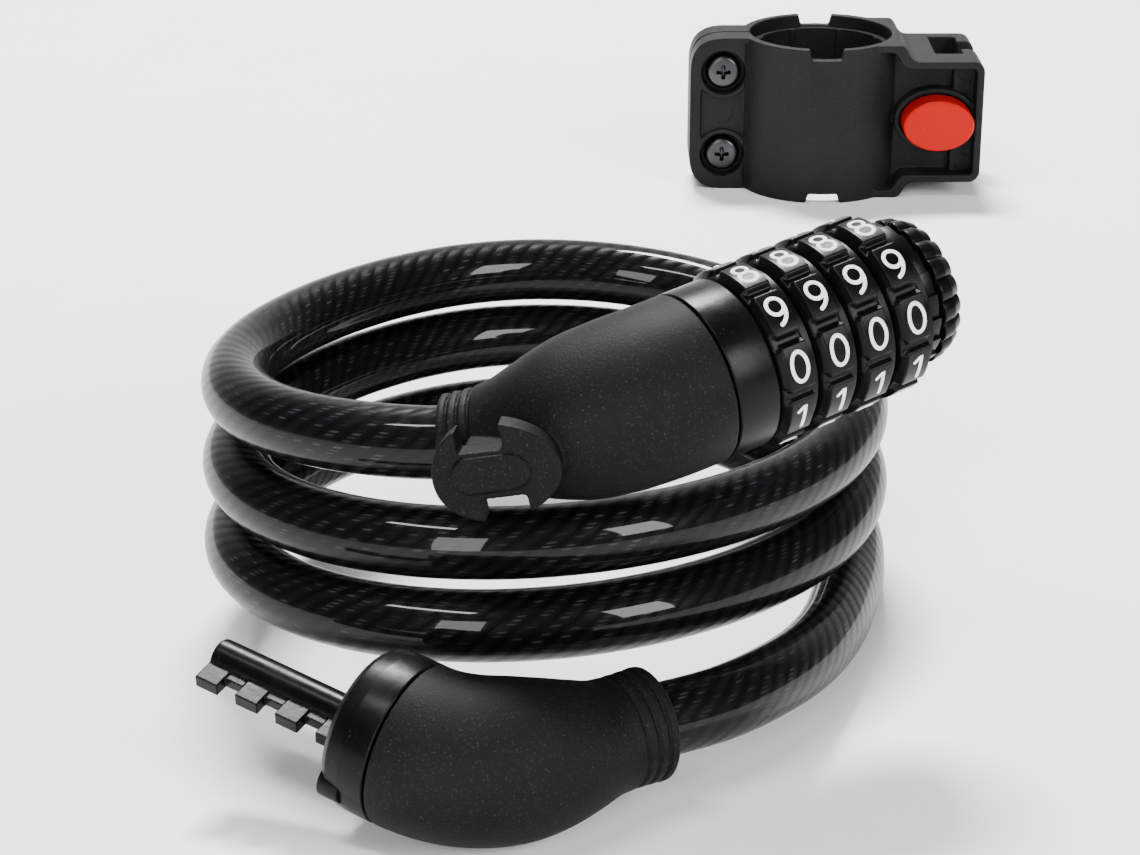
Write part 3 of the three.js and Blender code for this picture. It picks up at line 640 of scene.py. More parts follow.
def add_lights():
    middle = (-0.02, -0.05, 0.03)
    add_softbox("left_front", (-0.3, -1.2, 0.36), middle, 0.34, 0.9, 14)
    add_softbox("right_front", (0.84, -0.84, 0.6), middle, 0.36, 0.6, 16)
    add_softbox("front_top", (-0.42, -0.5, 1.2), middle, 0.6, 0.1, 10)
    add_softbox("overhead", (-0.1, 0.66, 1.18), middle, 0.4, 0.24, 58)
    world = bpy.data.worlds.new("studio")
    world.use_nodes = True
    world.node_tree.nodes["Background"].inputs["Color"].default_value = colour(1, 1, 1)
    world.node_tree.nodes["Background"].inputs["Strength"].default_value = 0.12
    bpy.context.scene.world = world


# ---------- cable ----------

def coil_point(angle):
    turn = math.radians(angle)
    turns = angle / 360
    radius = COIL_RADIUS + COIL_OVAL * math.cos(2 * (turn - math.radians(COIL_OVAL_TURN)))
    drop = COIL_PITCH * turns + COIL_PITCH_GROWTH * turns ** 2
    lean = COIL_LEAN_FRONT * math.cos(turn) + COIL_LEAN_SIDE * math.sin(turn)
    lift = HEAD_LIFT * math.exp(-(angle / HEAD_LIFT_SPREAD) ** 2)
    height = COIL_TOP - drop + lean + lift + COIL_SADDLE * math.cos(2 * turn)
    y = -radius * math.cos(turn) - COIL_FORWARD_PER_TURN * turns
    return COIL_CENTRE + COIL_SHIFT + (-radius * math.sin(turn), y, height)


head_bend = Bend(coil_point(COIL_START), HEAD_ENTRY_AXIS, HEAD_SEAM, HEAD_AXIS, HEAD_EASES)
plug_bend = Bend(PLUG_ENTRY, PLUG_ENTRY_AXIS, PLUG_SEAM, PLUG_AXIS, PLUG_EASES)


def cable_route():
    count = round((COIL_END - COIL_START) / COIL_POINT_EVERY)
    coil = [coil_point(COIL_START + (COIL_END - COIL_START) * i / count) for i in range(count + 1)]
    in_head = [head_bend.at(CABLE_IN_HEAD * k / 3)[0] for k in (3, 2, 1)]
    in_plug = [plug_bend.at(CABLE_IN_PLUG * k / 3)[0] for k in (0, 1, 2, 3)]
    lead = [COIL_CENTRE + point for point in LEAD]
    return np.array([*in_head, *coil, *lead, *in_plug])


def between(first, second, start, end, t):
    """The point at t on the straight line that is at the first point at start and the second at end."""
    return (first * (end - t) + second * (t - start)) / (end - start)


def smooth_line(points, per_step):
    """A centripetal Catmull-Rom curve through the points."""
    padded = np.vstack([2 * points[0] - points[1], points, 2 * points[-1] - points[-2]])
    made = []
    for i in range(1, len(padded) - 2):
        near = padded[i - 1:i + 3]
        knots = np.concatenate([[0], np.cumsum(np.linalg.norm(np.diff(near, axis=0), axis=1) ** 0.5)])
        for k in range(per_step):
            t = knots[1] + (knots[2] - knots[1]) * k / per_step
            level = [between(near[j], near[j + 1], knots[j], knots[j + 1], t) for j in range(3)]
            level = [between(level[j], level[j + 1], knots[j], knots[j + 2], t) for j in range(2)]
            made.append(between(level[0], level[1], knots[1], knots[2], t))
    made.append(points[-1])
    return np.array(made)


def add_cable():
    """The cable as a tube whose "along" map holds the distance in metres and the share of a turn."""
    sides, per_step = 40, 9
    path = smooth_line(cable_route(), per_step) * MM
    gaps = np.linalg.norm(np.diff(path, axis=0), axis=1)
    travel = np.concatenate([[0], np.cumsum(gaps)])
    tangents = np.gradient(path, axis=0)
    tangents /= np.linalg.norm(tangents, axis=1)[:, None]
    side = np.cross(UP, tangents)
    side /= np.linalg.norm(side, axis=1)[:, None]
    rise = np.cross(tangents, side)
    turn = np.arange(sides) * 2 * math.pi / sides
    rows = [p + CABLE_RADIUS * MM * (np.cos(turn)[:, None] * s + np.sin(turn)[:, None] * r)
            for p, s, r in zip(path, side, rise)]
    points, faces = skin(rows)
    mesh = bpy.data.meshes.new("cable")
    mesh.from_pydata([tuple(p) for p in points], [], faces)
    layer = mesh.uv_layers.new(name="along")
    for polygon in mesh.polygons:
        polygon.use_smooth = len(polygon.vertices) == 4
        wraps = {v % sides for v in polygon.vertices} == {0, sides - 1}
        for loop in polygon.loop_indices:
            ring, spoke = divmod(mesh.loops[loop].vertex_index, sides)
            share = 1.0 if wraps and spoke == 0 else spoke / sides
            layer.data[loop].uv = (travel[ring], share)
    mesh.materials.append(LOOKS["sheath"])
    cable = bpy.data.objects.new("cable", mesh)
    bpy.context.scene.collection.objects.link(cable)
    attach(cable, "lock")
    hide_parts("cable_sheath", "cable_core")


# ---------- boots ----------

def ribbed_profile(rib_radii, rib_pitch, body, length):
    """A boot's outside: rounded ribs at the cable's end, a smooth swelling, and a sharp rim at the seam."""
    groove = 0.45
    line = [(rib_radii[0] - 0.7, 0), (rib_radii[0], 0.5)]
    for i, radius in enumerate(rib_radii[1:], start=1):
        middle = i * rib_pitch
        low = min(radius, rib_radii[i - 1]) - groove
        line += [(rib_radii[i - 1], middle - 0.45), (low, middle - 0.22)]
        line += [(low, middle + 0.12), (radius, middle + 0.4)]
    ribs = eased(line, 0.18, 3)
    knots = np.array([line[-1], *body, (body[-1][0] + 0.02, length)], float)
    knots = np.column_stack([knots, np.zeros(len(knots))])
    swell = smooth_line(knots, 8)[:, :2]
    return [(0, 0), *ribs[:-1], *swell, (0, length)]


def lug_shape():
    """The carrier lug, drawn looking at its face: a disc with two cut-outs and a soft raised bar."""
    disc = prism(oval(9.8, 8.2, count=96), 0, LUG_THICKNESS, 0.7)
    top = slab(-4.4, 2.8, 3.6, 20, -2, 6, 0.5)
    bottom = slab(-2.1, 4.5, -20, -4.3, -2, 6, 0.5)
    bar = prism(stadium(5.9, 3), LUG_THICKNESS - 0.6, LUG_THICKNESS + 0.7, 0.6, 4)
    neck = slab(-4.6, 4.6, -3.3, 3.3, -10.5, 1, 0.8)
    return disc, top, bottom, bar, neck


def stadium(half_length, half_height, count=24):
    """The outline of a bar with round ends."""
    turn = np.linspace(-math.pi / 2, math.pi / 2, count)
    reach = half_length - half_height
    right = np.stack([reach + half_height * np.cos(turn), half_height * np.sin(turn)], axis=1)
    return np.vstack([right, -right])


def on_boot_side(shape):
    """Turns a shape that faces +Z to the front side of the head, with its X along the head."""
    place = [
        (0, 0, -1, LUG_THICKNESS - LUG_OUT),
        (0, 1, 0, 0),
        (1, 0, 0, LUG_ALONG),
        (0, 0, 0, 1),
    ]
    return moved(turned_by(shape, LUG_TILT), place)


def add_head_boot():
    length = head_bend.length - 0.15
    swelling = [(9.3, 9.5), (10.7, 13.2), (12.2, 17.5), (13.4, 22), (14.05, 28), (14.25, 34)]
    outline = ribbed_profile([7.9, 8.1, 8.35, 8.6], RIB_PITCH, swelling, length)
    hollow = [(0, -2), (6.25, -2), (6.25, 20), (10.2, 29.5), (10.2, length + 2), (0, length + 2)]
    disc, top, bottom, bar, neck = lug_shape()
    boot = object_of("head_boot_skin", head_bend.lay(turned(outline, 160)))
    lug = object_of("lug", disc)
    carved(lug, ("DIFFERENCE", top), ("DIFFERENCE", bottom), ("UNION", bar), ("UNION", neck))
    lug = head_bend.lay(on_boot_side(shape_of(lug)))
    carved(boot, ("UNION", lug), ("DIFFERENCE", head_bend.lay(turned(hollow, 96))))
    moulded(boot, 0.2, 4)
    finished(boot, "lock", LOOKS["boot"], "boot", "head_boot", sharp=60)


def add_plug_boot():
    length = plug_bend.length - 0.15
    swelling = [(9.4, 9.5), (10.4, 13), (11.9, 18.5), (12.9, 24), (13.25, 30)]
    outline = ribbed_profile([9.3, 9.2, 9.15, 9.15], RIB_PITCH, swelling, length)
    hollow = [(0, -2), (6.25, -2), (6.25, 15), (9.7, length - 9), (9.7, length + 2), (0, length + 2)]
    boot = object_of("plug_boot_skin", plug_bend.lay(turned(outline, 160)))
    carved(boot, ("DIFFERENCE", plug_bend.lay(turned(hollow, 96))))
    moulded(boot, 0.2, 3)
    finished(boot, "lock", LOOKS["boot"], "boot", "plug_boot", sharp=60)


# ---------- head ----------

def add_head_collar():
    """Collar and barrel in one, with the slot for the bolt's teeth."""
    profile = eased([
        (0.001, -5.5), (5.8, -5.5), (5.8, -8.5), (8.8, -8.5), (8.8, 0.15), (HEAD_RADIUS, 0.15),
        (HEAD_RADIUS, COLLAR_LENGTH), (BARREL_RADIUS, COLLAR_LENGTH), (BARREL_RADIUS, CLIP_GROOVE),
        (BARREL_RADIUS - 0.8, CLIP_GROOVE), (BARREL_RADIUS - 0.8, CLIP_GROOVE + 1),
        (BARREL_RADIUS, CLIP_GROOVE + 1), (BARREL_RADIUS, BARREL_END), (BARREL_BORE, BARREL_END),
        (BARREL_BORE, -3.5), (0.001, -3.5),
    ], [0, 0.2, 0.2, 0.2, 0.2, 0.35, 0.45, 0.1, 0, 0, 0, 0, 0.5, 0.5, 0.2, 0])
    collar = object_of("collar_and_barrel", laid_on(turned(profile, 160), HEAD_SEAM, HEAD_AXIS))
    slot = slab(-20, 0, -1.5, 1.5, DIALS_START, BARREL_END + 5)
    seat = slab(4.9, 20, -1.7, 1.7, DIALS_START, KNOB_START - 0.5)
    carved(collar, *(("DIFFERENCE", laid_on(tool, HEAD_SEAM, HEAD_AXIS)) for tool in (slot, seat)))
    finished(collar, "lock", LOOKS["gloss"], "gloss", "head_collar")


def smooth_step(low, high, value):
    share = np.clip((value - low) / (high - low), 0, 1)
    return share * share * (3 - 2 * share)


def dial_shape(start):
    """Ten raised pads with sloping sides, steep towards the boot, and a low band towards the knob."""
    count = 600
    step = 2 * math.pi / 10
    turn = np.arange(count) * 2 * math.pi / count
    off = np.abs((turn - math.radians(CODE_LINE) + step / 2) % step - step / 2)
    across = off * DIAL_TOP
    half_step = step / 2 * DIAL_TOP
    rows = [ring_points(DIAL_BORE, start + 0.3, count), ring_points(DIAL_BORE + 0.3, start, count)]
    rows.append(ring_points(DIAL_BAND - 0.9, start, count))
    band = DIAL_WIDTH - DIAL_BAND_WIDTH
    for z in np.concatenate([np.linspace(0.0, 2.0, 17), np.linspace(2.1, band - 0.3, 6),
                             np.linspace(band - 0.2, band + 0.4, 7), np.linspace(band + 0.6, DIAL_WIDTH, 5)]):
        cut_corner = np.clip(1.35 - z, 0, 2) * 0.9
        side = 1 - smooth_step(half_step - 1.15 - cut_corner, half_step - 0.3 - cut_corner, across)
        front = smooth_step(0.15, 1.35, z)
        back = 1 - smooth_step(band - 0.12, band + 0.22, z)
        pad = side * front * back
        floor_level = DIAL_VALLEY - 0.35 * (1 - smooth_step(0.0, 0.5, z))
        floor_level += (DIAL_BAND - DIAL_VALLEY) * (1 - back)
        rim = 0.35 * (1 - smooth_step(0, 0.25, min(z, DIAL_WIDTH - z)))
        rows.append(ring_points(floor_level + (DIAL_TOP - floor_level) * pad - rim, start + z, count))
    end = start + DIAL_WIDTH
    rows += [ring_points(DIAL_BORE + 0.3, end, count), ring_points(DIAL_BORE, end - 0.3, count)]
    return skin(rows, closed=True)


def arc(x, y, half_width, half_height, start, end, count=28):
    """Points of an oval arc, its angles anticlockwise from the right."""
    turn = np.radians(np.linspace(start, end, count))
    return np.stack([x + half_width * np.cos(turn), y + half_height * np.sin(turn)], axis=1)


def polyline(*points):
    """Points along straight strokes, six to each stroke."""
    made = []
    for (x0, y0), (x1, y1) in zip(points, points[1:]):
        for k in range(6):
            made.append((x0 + (x1 - x0) * k / 6, y0 + (y1 - y0) * k / 6))
    made.append(points[-1])
    return np.array(made)


# Each digit's strokes, 3 wide and 4.9 high, with Y up.
DIGIT_STROKES = {
    0: [arc(0, 0, 1.45, 2.45, 90, 450, 44)],
    1: [polyline((-0.9, 1.5), (0.35, 2.45), (0.35, -2.45))],
    2: [np.vstack([arc(0, 1.05, 1.4, 1.4, 165, -35), polyline((1.1, 0.2), (-1.4, -2.45), (1.5, -2.45))])],
    3: [arc(-0.1, 1.25, 1.3, 1.2, 150, -80), arc(-0.1, -1.15, 1.5, 1.3, 85, -150)],
    4: [polyline((0.7, -2.45), (0.7, 2.45), (-1.5, -1.1), (1.6, -1.1))],
    5: [np.vstack([polyline((1.3, 2.45), (-1.1, 2.45), (-1.25, 0.3)), arc(0, -0.85, 1.5, 1.6, 125, -150)])],
    6: [arc(0, -0.95, 1.45, 1.5, 90, 450, 40), arc(1.3, -0.6, 2.75, 3.05, 180, 108)],
    7: [polyline((-1.4, 2.45), (1.45, 2.45), (-0.5, -2.45))],
    8: [arc(0, 1.25, 1.15, 1.2, 90, 450, 36), arc(0, -1.15, 1.42, 1.3, 90, 450, 40)],
    9: [arc(0, 0.95, 1.45, 1.5, 90, 450, 40), arc(-1.3, 0.6, 2.75, 3.05, 0, -72)],
}
STROKE_HALF = 0.34
STROKE_RISE = 0.1


def stroke_shape(path):
    """A low rounded bead of paint along a flat path, with round ends."""
    run = np.gradient(path, axis=0)
    run /= np.linalg.norm(run, axis=1)[:, None]
    looped = np.linalg.norm(path[0] - path[-1]) < 1e-6
    sections = []
    turn = np.arange(10) * 2 * math.pi / 10
    sizes = [1.0] * len(path)
    places, runs = list(path), list(run)
    if looped:
        places, runs, sizes = places[:-1], runs[:-1], sizes[:-1]
        runs[0] = (run[0] + run[-1]) / np.linalg.norm(run[0] + run[-1])
    else:
        reaches, end_sizes = [0.95, 0.7, 0.38], [0.3, 0.7, 0.93]
        places = [path[0] - run[0] * STROKE_HALF * reach for reach in reaches] + places
        places += [path[-1] + run[-1] * STROKE_HALF * reach for reach in reaches[::-1]]
        runs = [run[0]] * 3 + runs + [run[-1]] * 3
        sizes = end_sizes + sizes + end_sizes[::-1]
    for place, direction, size in zip(places, runs, sizes):
        normal = np.array([-direction[1], direction[0]])
        offset = np.cos(turn)[:, None] * normal * STROKE_HALF * size
        sections.append(np.column_stack([place + offset, np.sin(turn) * STROKE_RISE * size]))
    return skin(sections, closed=looped)


def digit_ring(start):
    """The ten digits of one dial, upright round it and read along its axis, wrapped on the pads."""
    middle = start + (DIAL_WIDTH - DIAL_BAND_WIDTH + PAD_SLOPE) / 2
    pieces = []
    for digit, strokes in DIGIT_STROKES.items():
        angle = math.radians(CODE_LINE + DIGIT_STEP * digit)
        for stroke in strokes:
            points, faces = stroke_shape(stroke)
            turn = angle - points[:, 1] / DIAL_TOP
            radius = DIAL_TOP + points[:, 2] + 0.01
            wrapped = np.column_stack([radius * np.cos(turn), radius * np.sin(turn), middle + points[:, 0]])
            pieces.append((wrapped, faces))
    return together(*pieces)


def add_dials():
    for i in range(DIAL_COUNT):
        start = DIALS_START + i * DIAL_PITCH
        name = f"dial_{i + 1}"
        ring = object_of(f"{name}_ring", laid_on(dial_shape(start), HEAD_SEAM, HEAD_AXIS))
        finished(ring, name, LOOKS["gloss"], "gloss", name, sharp=40)
        digits = object_of(f"{name}_digits", laid_on(digit_ring(start), HEAD_SEAM, HEAD_AXIS))
        finished(digits, name, LOOKS["paint"], "gloss", sharp=60)


def add_knob():
    """Two fluted tiers with a dark groove between them, tapering to the mouth."""
    count = KNOB_FLUTES * 24
    turn = np.arange(count) * 2 * math.pi / count
    phase = (turn * KNOB_FLUTES / (2 * math.pi)) % 1
    scallop = 0.75 * np.abs(np.cos(math.pi * phase)) ** 0.6
    ratchet = 0.6 * phase
    rows = []
    tiers = eased([
        (6.5, 0.3), (6.8, 0), (12.7, 0), (12.7, 2.2), (11.2, 2.35), (11.2, 2.85), (12.7, 3.1), (12.3, 5.4),
        (11.2, KNOB_LENGTH), (8.8, KNOB_LENGTH), (8.4, 6.6), (8.4, 2.9), (6.5, 2.9),
    ], 0.22, 3)
    for radius, z in tiers:
        outside = smooth_step(9.4, 11.4, radius)
        wave = ratchet if z < 2.6 else 0.75 - scallop
        rows.append(ring_points(radius - wave * outside, KNOB_START + z, count))
    knob = object_of("resetting_knob", laid_on(skin(rows, closed=True), HEAD_SEAM, HEAD_AXIS))
    finished(knob, "knob", LOOKS["gloss"], "gloss", "end_knob", sharp=35)


def add_knob_clip():
    outer, inner, gap = 7.9, BARREL_RADIUS - 0.5, 22
    turn = np.radians(np.linspace(180 + gap, 540 - gap, 80))
    outline = np.vstack([np.stack([outer * np.cos(turn), outer * np.sin(turn)], axis=1),
                         np.stack([inner * np.cos(turn[::-1]), inner * np.sin(turn[::-1])], axis=1)])
    clip = prism(outline, CLIP_GROOVE + 0.2, CLIP_GROOVE + 0.8, 0.1, 2)
    clip = object_of("spring_clip", laid_on(clip, HEAD_SEAM, HEAD_AXIS))
    finished(clip, "lock", LOOKS["steel"], "steel", "knob_clip")


# ---------- plug ----------

def add_plug_collar():
    """The collar with its half-moon nub, and the neck that goes into the boot."""
    bore = BOLT_RADIUS + 0.3
    profile = eased([
        (bore, -6), (8.4, -6), (8.4, 0.15), (PLUG_RADIUS, 0.15), (PLUG_RADIUS, 4.6), (12.95, 7.2),
        (12.1, PLUG_COLLAR_END), (10.9, PLUG_COLLAR_END), (10.4, 6.8), (bore, 6.8),
    ], [0.2, 0.2, 0.2, 0.3, 3, 0.8, 0.5, 0.35, 0.3, 0.2], 4, closed=True)
    collar = turned(profile, 160, closed=True)
    nub = shifted(prism(oval(3, 3), 4.4, PLUG_COLLAR_END - 0.1, 0.6, 3), 10, -4.6, 0)
    thing = object_of("plug_collar_skin", laid_on(collar, PLUG_SEAM, PLUG_AXIS))
    carved(thing, ("UNION", laid_on(nub, PLUG_SEAM, PLUG_AXIS)))
    finished(thing, "lock", LOOKS["gloss"], "gloss", "plug_collar")


def on_plug(shape):
    return laid_on(turned_by(shape, TOOTH_TILT), PLUG_SEAM, PLUG_AXIS)


def add_plug_bolt():
    """The round bar, its thin web and the four flat teeth, in one casting."""
    bar = turned(eased([(0, BOLT_ROOT), (BOLT_RADIUS, BOLT_ROOT), (BOLT_RADIUS, BOLT_TIP), (0, BOLT_TIP)],
                       0.6, 4), 64)
    half = TOOTH_THICKNESS / 2
    web = slab(0, WEB_REACH, -half * 0.8, half * 0.8, PLUG_COLLAR_END - 1, BOLT_TIP - 1.4)
    steps = [("UNION", web)]
    for i in range(DIAL_COUNT):
        middle = FIRST_TOOTH + i * DIAL_PITCH
        tooth = slab(0, TOOTH_REACH, -half, half, middle - TOOTH_LENGTH / 2, middle + TOOTH_LENGTH / 2)
        steps.append(("UNION", tooth))
    bolt = object_of("toothed_bolt", on_plug(bar))
    carved(bolt, *((kind, on_plug(shape)) for kind, shape in steps))
    moulded(bolt, 0.12, 3)
    finished(bolt, "lock", LOOKS["gloss"], "gloss", "plug_bolt", sharp=60)


# ---------- bracket ----------

def lip_outline():
    corner = 9
    base = [(-10, 0), (-10, BRACKET_HEIGHT), (LIP_LEFT, BRACKET_HEIGHT), (LIP_LEFT, 0)]
    return eased(base[::-1], [corner, corner, 0, 0], 10, closed=True)[::-1]


def box_outline(inset):
    """The carrier box: full height beside the ring, then an S-curve down to the lower box."""
    bend = 19.5 - inset
    low = BOX_LOW + inset
    edge = 3 - inset
    right = BOX_RIGHT - inset
    t = np.linspace(0, 1, 14)[:, None]
    weights = [(1 - t) ** 3, 3 * t * (1 - t) ** 2, 3 * t * t * (1 - t), t ** 3]
    knots = [(bend, inset), (bend + 2.6, inset), (bend + 2, low), (bend + 5.2, low)]
    curve = sum(w * np.array(k) for w, k in zip(weights, knots))
    turn = np.linspace(-math.pi / 2, 0, 8)
    corner = np.stack([right - edge + edge * np.cos(turn), low + edge + edge * np.sin(turn)], axis=1)
    lower = np.vstack([[(10, inset)], curve, corner])
    upper = lower[::-1] * (1, -1) + (0, BRACKET_HEIGHT)
    return np.vstack([lower, upper])


def front_plate(outline, y0, y1):
    """An outline in X and Z as thick as from y0 to y1."""
    return facing_front(prism(outline, 0, y1 - y0), y1)


def notch(y0, y1, top):
    level = BRACKET_HEIGHT if top else 0
    depth = -2.8 if top else 2.5
    over = 1 if top else -1
    outline = [(-4.8, level + over), (-3.8, level + depth), (3.8, level + depth), (4.8, level + over)]
    return front_plate(outline if top else outline[::-1], y0, y1)


def screw_tools(height):
    """The clearance hole, the counterbore for the head and the pocket for the nut."""
    hole = turned([(0, -20), (2.8, -20), (2.8, 20), (0, 20)], 32)
    counterbore = turned([(0, LIP_DEPTH - 3.8), (5.9, LIP_DEPTH - 3.8), (5.9, 20), (0, 20)], 64)
    pocket = turned([(0, -20), (4.95, -20), (4.95, -LIP_DEPTH + 4), (0, -LIP_DEPTH + 4)], 6)
    return [shifted(facing_front(tool), SCREW_X, 0, height) for tool in (hole, counterbore, pocket)]


def bow_tie():
    """The recess between the screws: its long sides follow the counterbores."""
    half, rim = 5.9, 7.1
    t = np.linspace(-half, half, 15)
    upper = [(SCREW_X + x, SCREW_HEIGHTS[1] - math.sqrt(rim ** 2 - x ** 2)) for x in t[::-1]]
    lower = [(SCREW_X + x, SCREW_HEIGHTS[0] + math.sqrt(rim ** 2 - x ** 2)) for x in t]
    return lower + upper


def round_mark(x, z, radius, y):
    """A faint ejector-pin mark on a face towards the front."""
    disc = turned([(0, 0), (radius, 0), (radius, 0.5), (0, 0.5)], 40)
    return shifted(facing_front(disc), x, y, z)


def button_oval(wider):
    """The button's outline on the bracket's front, wider all round."""
    return oval(BUTTON_HALF[0] + wider, BUTTON_HALF[1] + wider, BUTTON_X, BRACKET_HEIGHT / 2)


def add_bracket():
    """The ring, its lips and the carrier box as one moulding, with every pocket, slot and hole in it."""
    top = BRACKET_HEIGHT + 5
    pocket_floor, wall, middle = -9, 2, BRACKET_HEIGHT / 2
    ledge_low = BOX_LOW + 1
    ring = turned([(0, 0), (RING_OUTER, 0), (RING_OUTER, BRACKET_HEIGHT), (0, BRACKET_HEIGHT)], 128)
    pocket_limit = turned([(0, -5), (RING_OUTER, -5), (RING_OUTER, top), (0, top)], 128)
    boss = front_plate(button_oval(1.7), -13.4, pocket_floor + 1)
    button_hole = front_plate(button_oval(0.4), -30, pocket_floor)
    stem_hole = turned([(0, -10), (2.7, -10), (2.7, 20), (0, 20)], 32)
    stem_hole = shifted(facing_front(stem_hole), BUTTON_X + STEM_OFF, 0, middle)

    pocket = object_of("pocket", front_plate(box_outline(wall), -25, pocket_floor))
    pocket = shape_of(carved(pocket, ("DIFFERENCE", pocket_limit)))

    steps = [
        ("UNION", front_plate(lip_outline(), -LIP_DEPTH, LIP_DEPTH)),
        ("UNION", front_plate(box_outline(0), -BOX_DEPTH, BOX_DEPTH)),
        ("DIFFERENCE", pocket),
        ("UNION", boss),
        ("UNION", slab(RING_OUTER - 2, BUTTON_X - 10.4, -12.4, pocket_floor + 1, middle - 1.2, middle + 1.2)),
        ("UNION", slab(34.5, BOX_RIGHT - 1, -11, pocket_floor + 1, ledge_low, BRACKET_HEIGHT - ledge_low)),
        ("DIFFERENCE", button_hole),
        ("DIFFERENCE", turned([(0, -5), (RING_BORE, -5), (RING_BORE, top), (0, top)], 128)),
        ("DIFFERENCE", slab(LIP_LEFT - 5, -RING_BORE + 3, -0.45, 0.45, -5, top)),
        ("DIFFERENCE", slab(30.2, 37.4, -6.6, 11.8, 8, top)),
        ("DIFFERENCE", slab(36.4, BOX_RIGHT + 5, -1.6, 6.6, 8, top)),
        ("DIFFERENCE", stem_hole),
        ("DIFFERENCE", notch(-30, -10, True)),
        ("DIFFERENCE", notch(10, 30, True)),
        ("DIFFERENCE", notch(-30, -10, False)),
        ("DIFFERENCE", front_plate(bow_tie(), -20, -LIP_DEPTH + 1.3)),
        ("UNION", round_mark(SCREW_X, middle, 2.5, -LIP_DEPTH + 1.5)),
        ("DIFFERENCE", slab(-20.45, -19.9, -LIP_DEPTH - 3, -LIP_DEPTH + 0.5, 1, BRACKET_HEIGHT - 1)),
    ]
    for x, z in ((38.2, 8.6), (38.2, BRACKET_HEIGHT - 8.6)):
        steps.append(("UNION", round_mark(x, z, 2.0, -10.8)))
    for height in SCREW_HEIGHTS:
        steps += [("DIFFERENCE", tool) for tool in screw_tools(height)]
    bracket = object_of("bracket_body", ring)
    carved(bracket, *steps)
    bracket.data.transform(Matrix.Translation(BRACKET_FOOT))
    moulded(bracket, 0.28, 4)
    finished(bracket, "bracket", LOOKS["bracket"], "bracket", "bracket_clamp", sharp=60)


def add_liner():
    """The ribbed rubber sleeve, split on the left."""
    outer, inner, rib_tip = RING_BORE - 0.35, 16.9, 16.2
    gap = math.degrees(0.8 / outer)
    around = np.radians(np.linspace(180 + gap, 540 - gap, 220))
    inside = around[::-1]
    off = np.radians(np.abs(np.degrees(inside) % LINER_RIB_STEP - LINER_RIB_STEP / 2)) * inner
    inner_line = inner - (inner - rib_tip) * (1 - smooth_step(0.55, 1.0, off))
    outline = np.vstack([np.stack([outer * np.cos(around), outer * np.sin(around)], axis=1),
                         np.stack([inner_line * np.cos(inside), inner_line * np.sin(inside)], axis=1)])
    liner = object_of("ribbed_liner", laid_on(prism(outline, 3, BRACKET_HEIGHT - 3.2, 0.25), BRACKET_FOOT))
    finished(liner, "bracket", LOOKS["rubber"], "rubber", "clamp_liner")


def screw_shape():
    """A pan head with a cross recess, and the shank."""
    profile = eased([(0, -10.6), (2.2, -10.6), (2.5, -10.2), (2.5, 4.1), (4.7, 4.1), (4.7, 5.5), (3.9, 6.7),
                     (0, 7.1)], [0, 0.1, 0.1, 0.1, 0.2, 0.8, 1.6, 0], 5)
    return turned(profile, 96)


def cross_recess():
    """Two crossing wings that narrow downwards."""
    floor, top, narrowing = 5.0, 9.0, 0.55
    wings = []
    for half_x, half_y in ((2.5, 0.62), (0.62, 2.5)):
        corners = [(-half_x, -half_y), (half_x, -half_y), (half_x, half_y), (-half_x, half_y)]
        low = [(x * narrowing, y * narrowing, floor) for x, y in corners]
        high = [(x, y, top) for x, y in corners]
        wings.append(skin([low, high]))
    return wings


def at_screw(shape, height):
    return laid_on(shifted(facing_front(shape), SCREW_X, 0, height), BRACKET_FOOT)


def add_screws():
    """Each pan-head screw and its nut."""
    for i, height in enumerate(SCREW_HEIGHTS):
        screw = object_of(f"pan_screw_{i + 1}", at_screw(screw_shape(), height))
        carved(screw, *(("DIFFERENCE", at_screw(wing, height)) for wing in cross_recess()))
        moulded(screw, 0.13, 2)
        finished(screw, "bracket", LOOKS["black_steel"], "steel", f"clamp_screw_{i + 1}", sharp=60)
        hexagon = turned([(0, -LIP_DEPTH + 0.2), (4.6, -LIP_DEPTH + 0.2), (4.6, -LIP_DEPTH + 3.7),
                          (0, -LIP_DEPTH + 3.7)], 6)
        nut = object_of(f"hex_nut_{i + 1}", at_screw(hexagon, height))
        thread = turned([(0, -20), (2.7, -20), (2.7, 20), (0, 20)], 48)
        carved(nut, ("DIFFERENCE", at_screw(thread, height)))
        moulded(nut, 0.16, 2)
        finished(nut, "bracket", LOOKS["steel"], "steel", f"clamp_nut_{i + 1}", sharp=60)


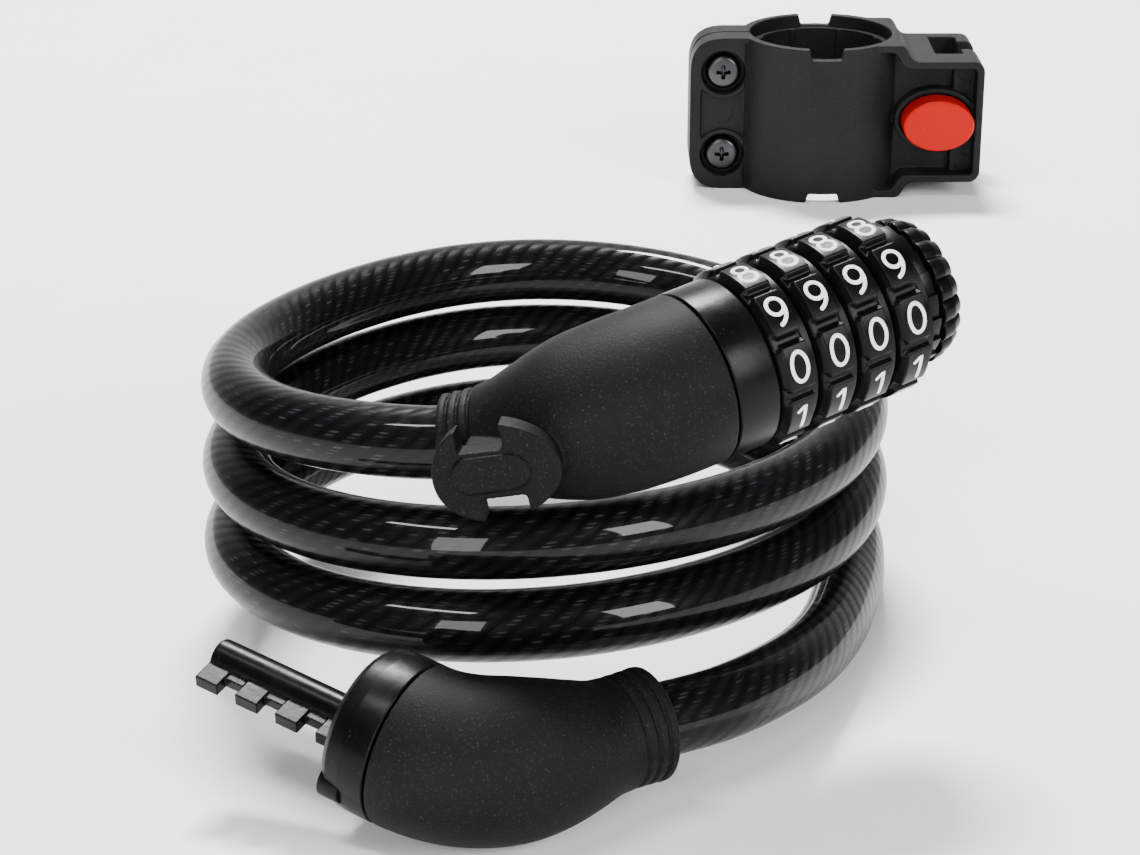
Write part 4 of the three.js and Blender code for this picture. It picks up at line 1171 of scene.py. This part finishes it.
def add_button():
    """An oval cup with a slightly domed face and a stem behind it."""
    front, back, middle = 20, 12.4, BRACKET_HEIGHT / 2
    width, height = BUTTON_HALF
    section = eased([(1, back), (0, back), (0, front - 0.05), (width * 0.55, front), (width * 0.99, front)],
                    [0.2, 0.2, 0.9, 0, 0], 6)
    rows = []
    for inset, z in section[1:]:
        size = 1 - inset / width
        flat = oval(width * size, height * size, count=128)
        rows.append(np.column_stack([flat, np.full(len(flat), z)]))
    stem = shifted(turned(eased([(0, 3.2), (2.4, 3.2), (2.4, 18), (0, 18)], 0.3), 48), STEM_OFF, 0, 0)
    button = shifted(facing_front(together(skin(rows), stem)), BUTTON_X, 0, middle)
    thing = object_of("red_push_button", laid_on(button, BRACKET_FOOT))
    finished(thing, "button", LOOKS["button"], "button", "release_button", sharp=50)


def add_catch():
    """The catch behind the button: a bar and its nose."""
    middle = BRACKET_HEIGHT / 2
    bar = slab(0.6, 6.2, -2.9, -0.6, -5.5, 4.5, 0.3, 0.25)
    nose = slab(0.6, 6.2, -1.2, 1.0, -5.5, 0, 0.3, 0.25)
    catch = together(bar, nose)
    thing = object_of("spring_catch", laid_on(shifted(catch, BUTTON_X, 0, middle), BRACKET_FOOT))
    finished(thing, "button", LOOKS["steel"], "steel", "latch_catch")


# ---------- carried-over CAD nodes ----------

INNER_LOOKS = {
    "head_ferrule": "zinc",
    "plug_ferrule": "zinc",
    "detent_strip": "steel",
    "ejector_plunger": "brass",
    "ejector_spring": "steel",
    "bolt_pin": "steel",
    "button_spring": "steel",
    **{f"sleeve_{i + 1}": "brass" for i in range(DIAL_COUNT)},
}


def dress_inner_nodes():
    for node, look in INNER_LOOKS.items():
        mesh = frame["nodes"][node].data
        mesh.materials.clear()
        mesh.materials.append(LOOKS[look])


add_camera()
add_cable()
add_floor()
add_lights()
add_head_boot()
add_plug_boot()
add_head_collar()
add_dials()
add_knob()
add_knob_clip()
add_plug_collar()
add_plug_bolt()
add_bracket()
add_liner()
add_screws()
add_button()
add_catch()
dress_inner_nodes()
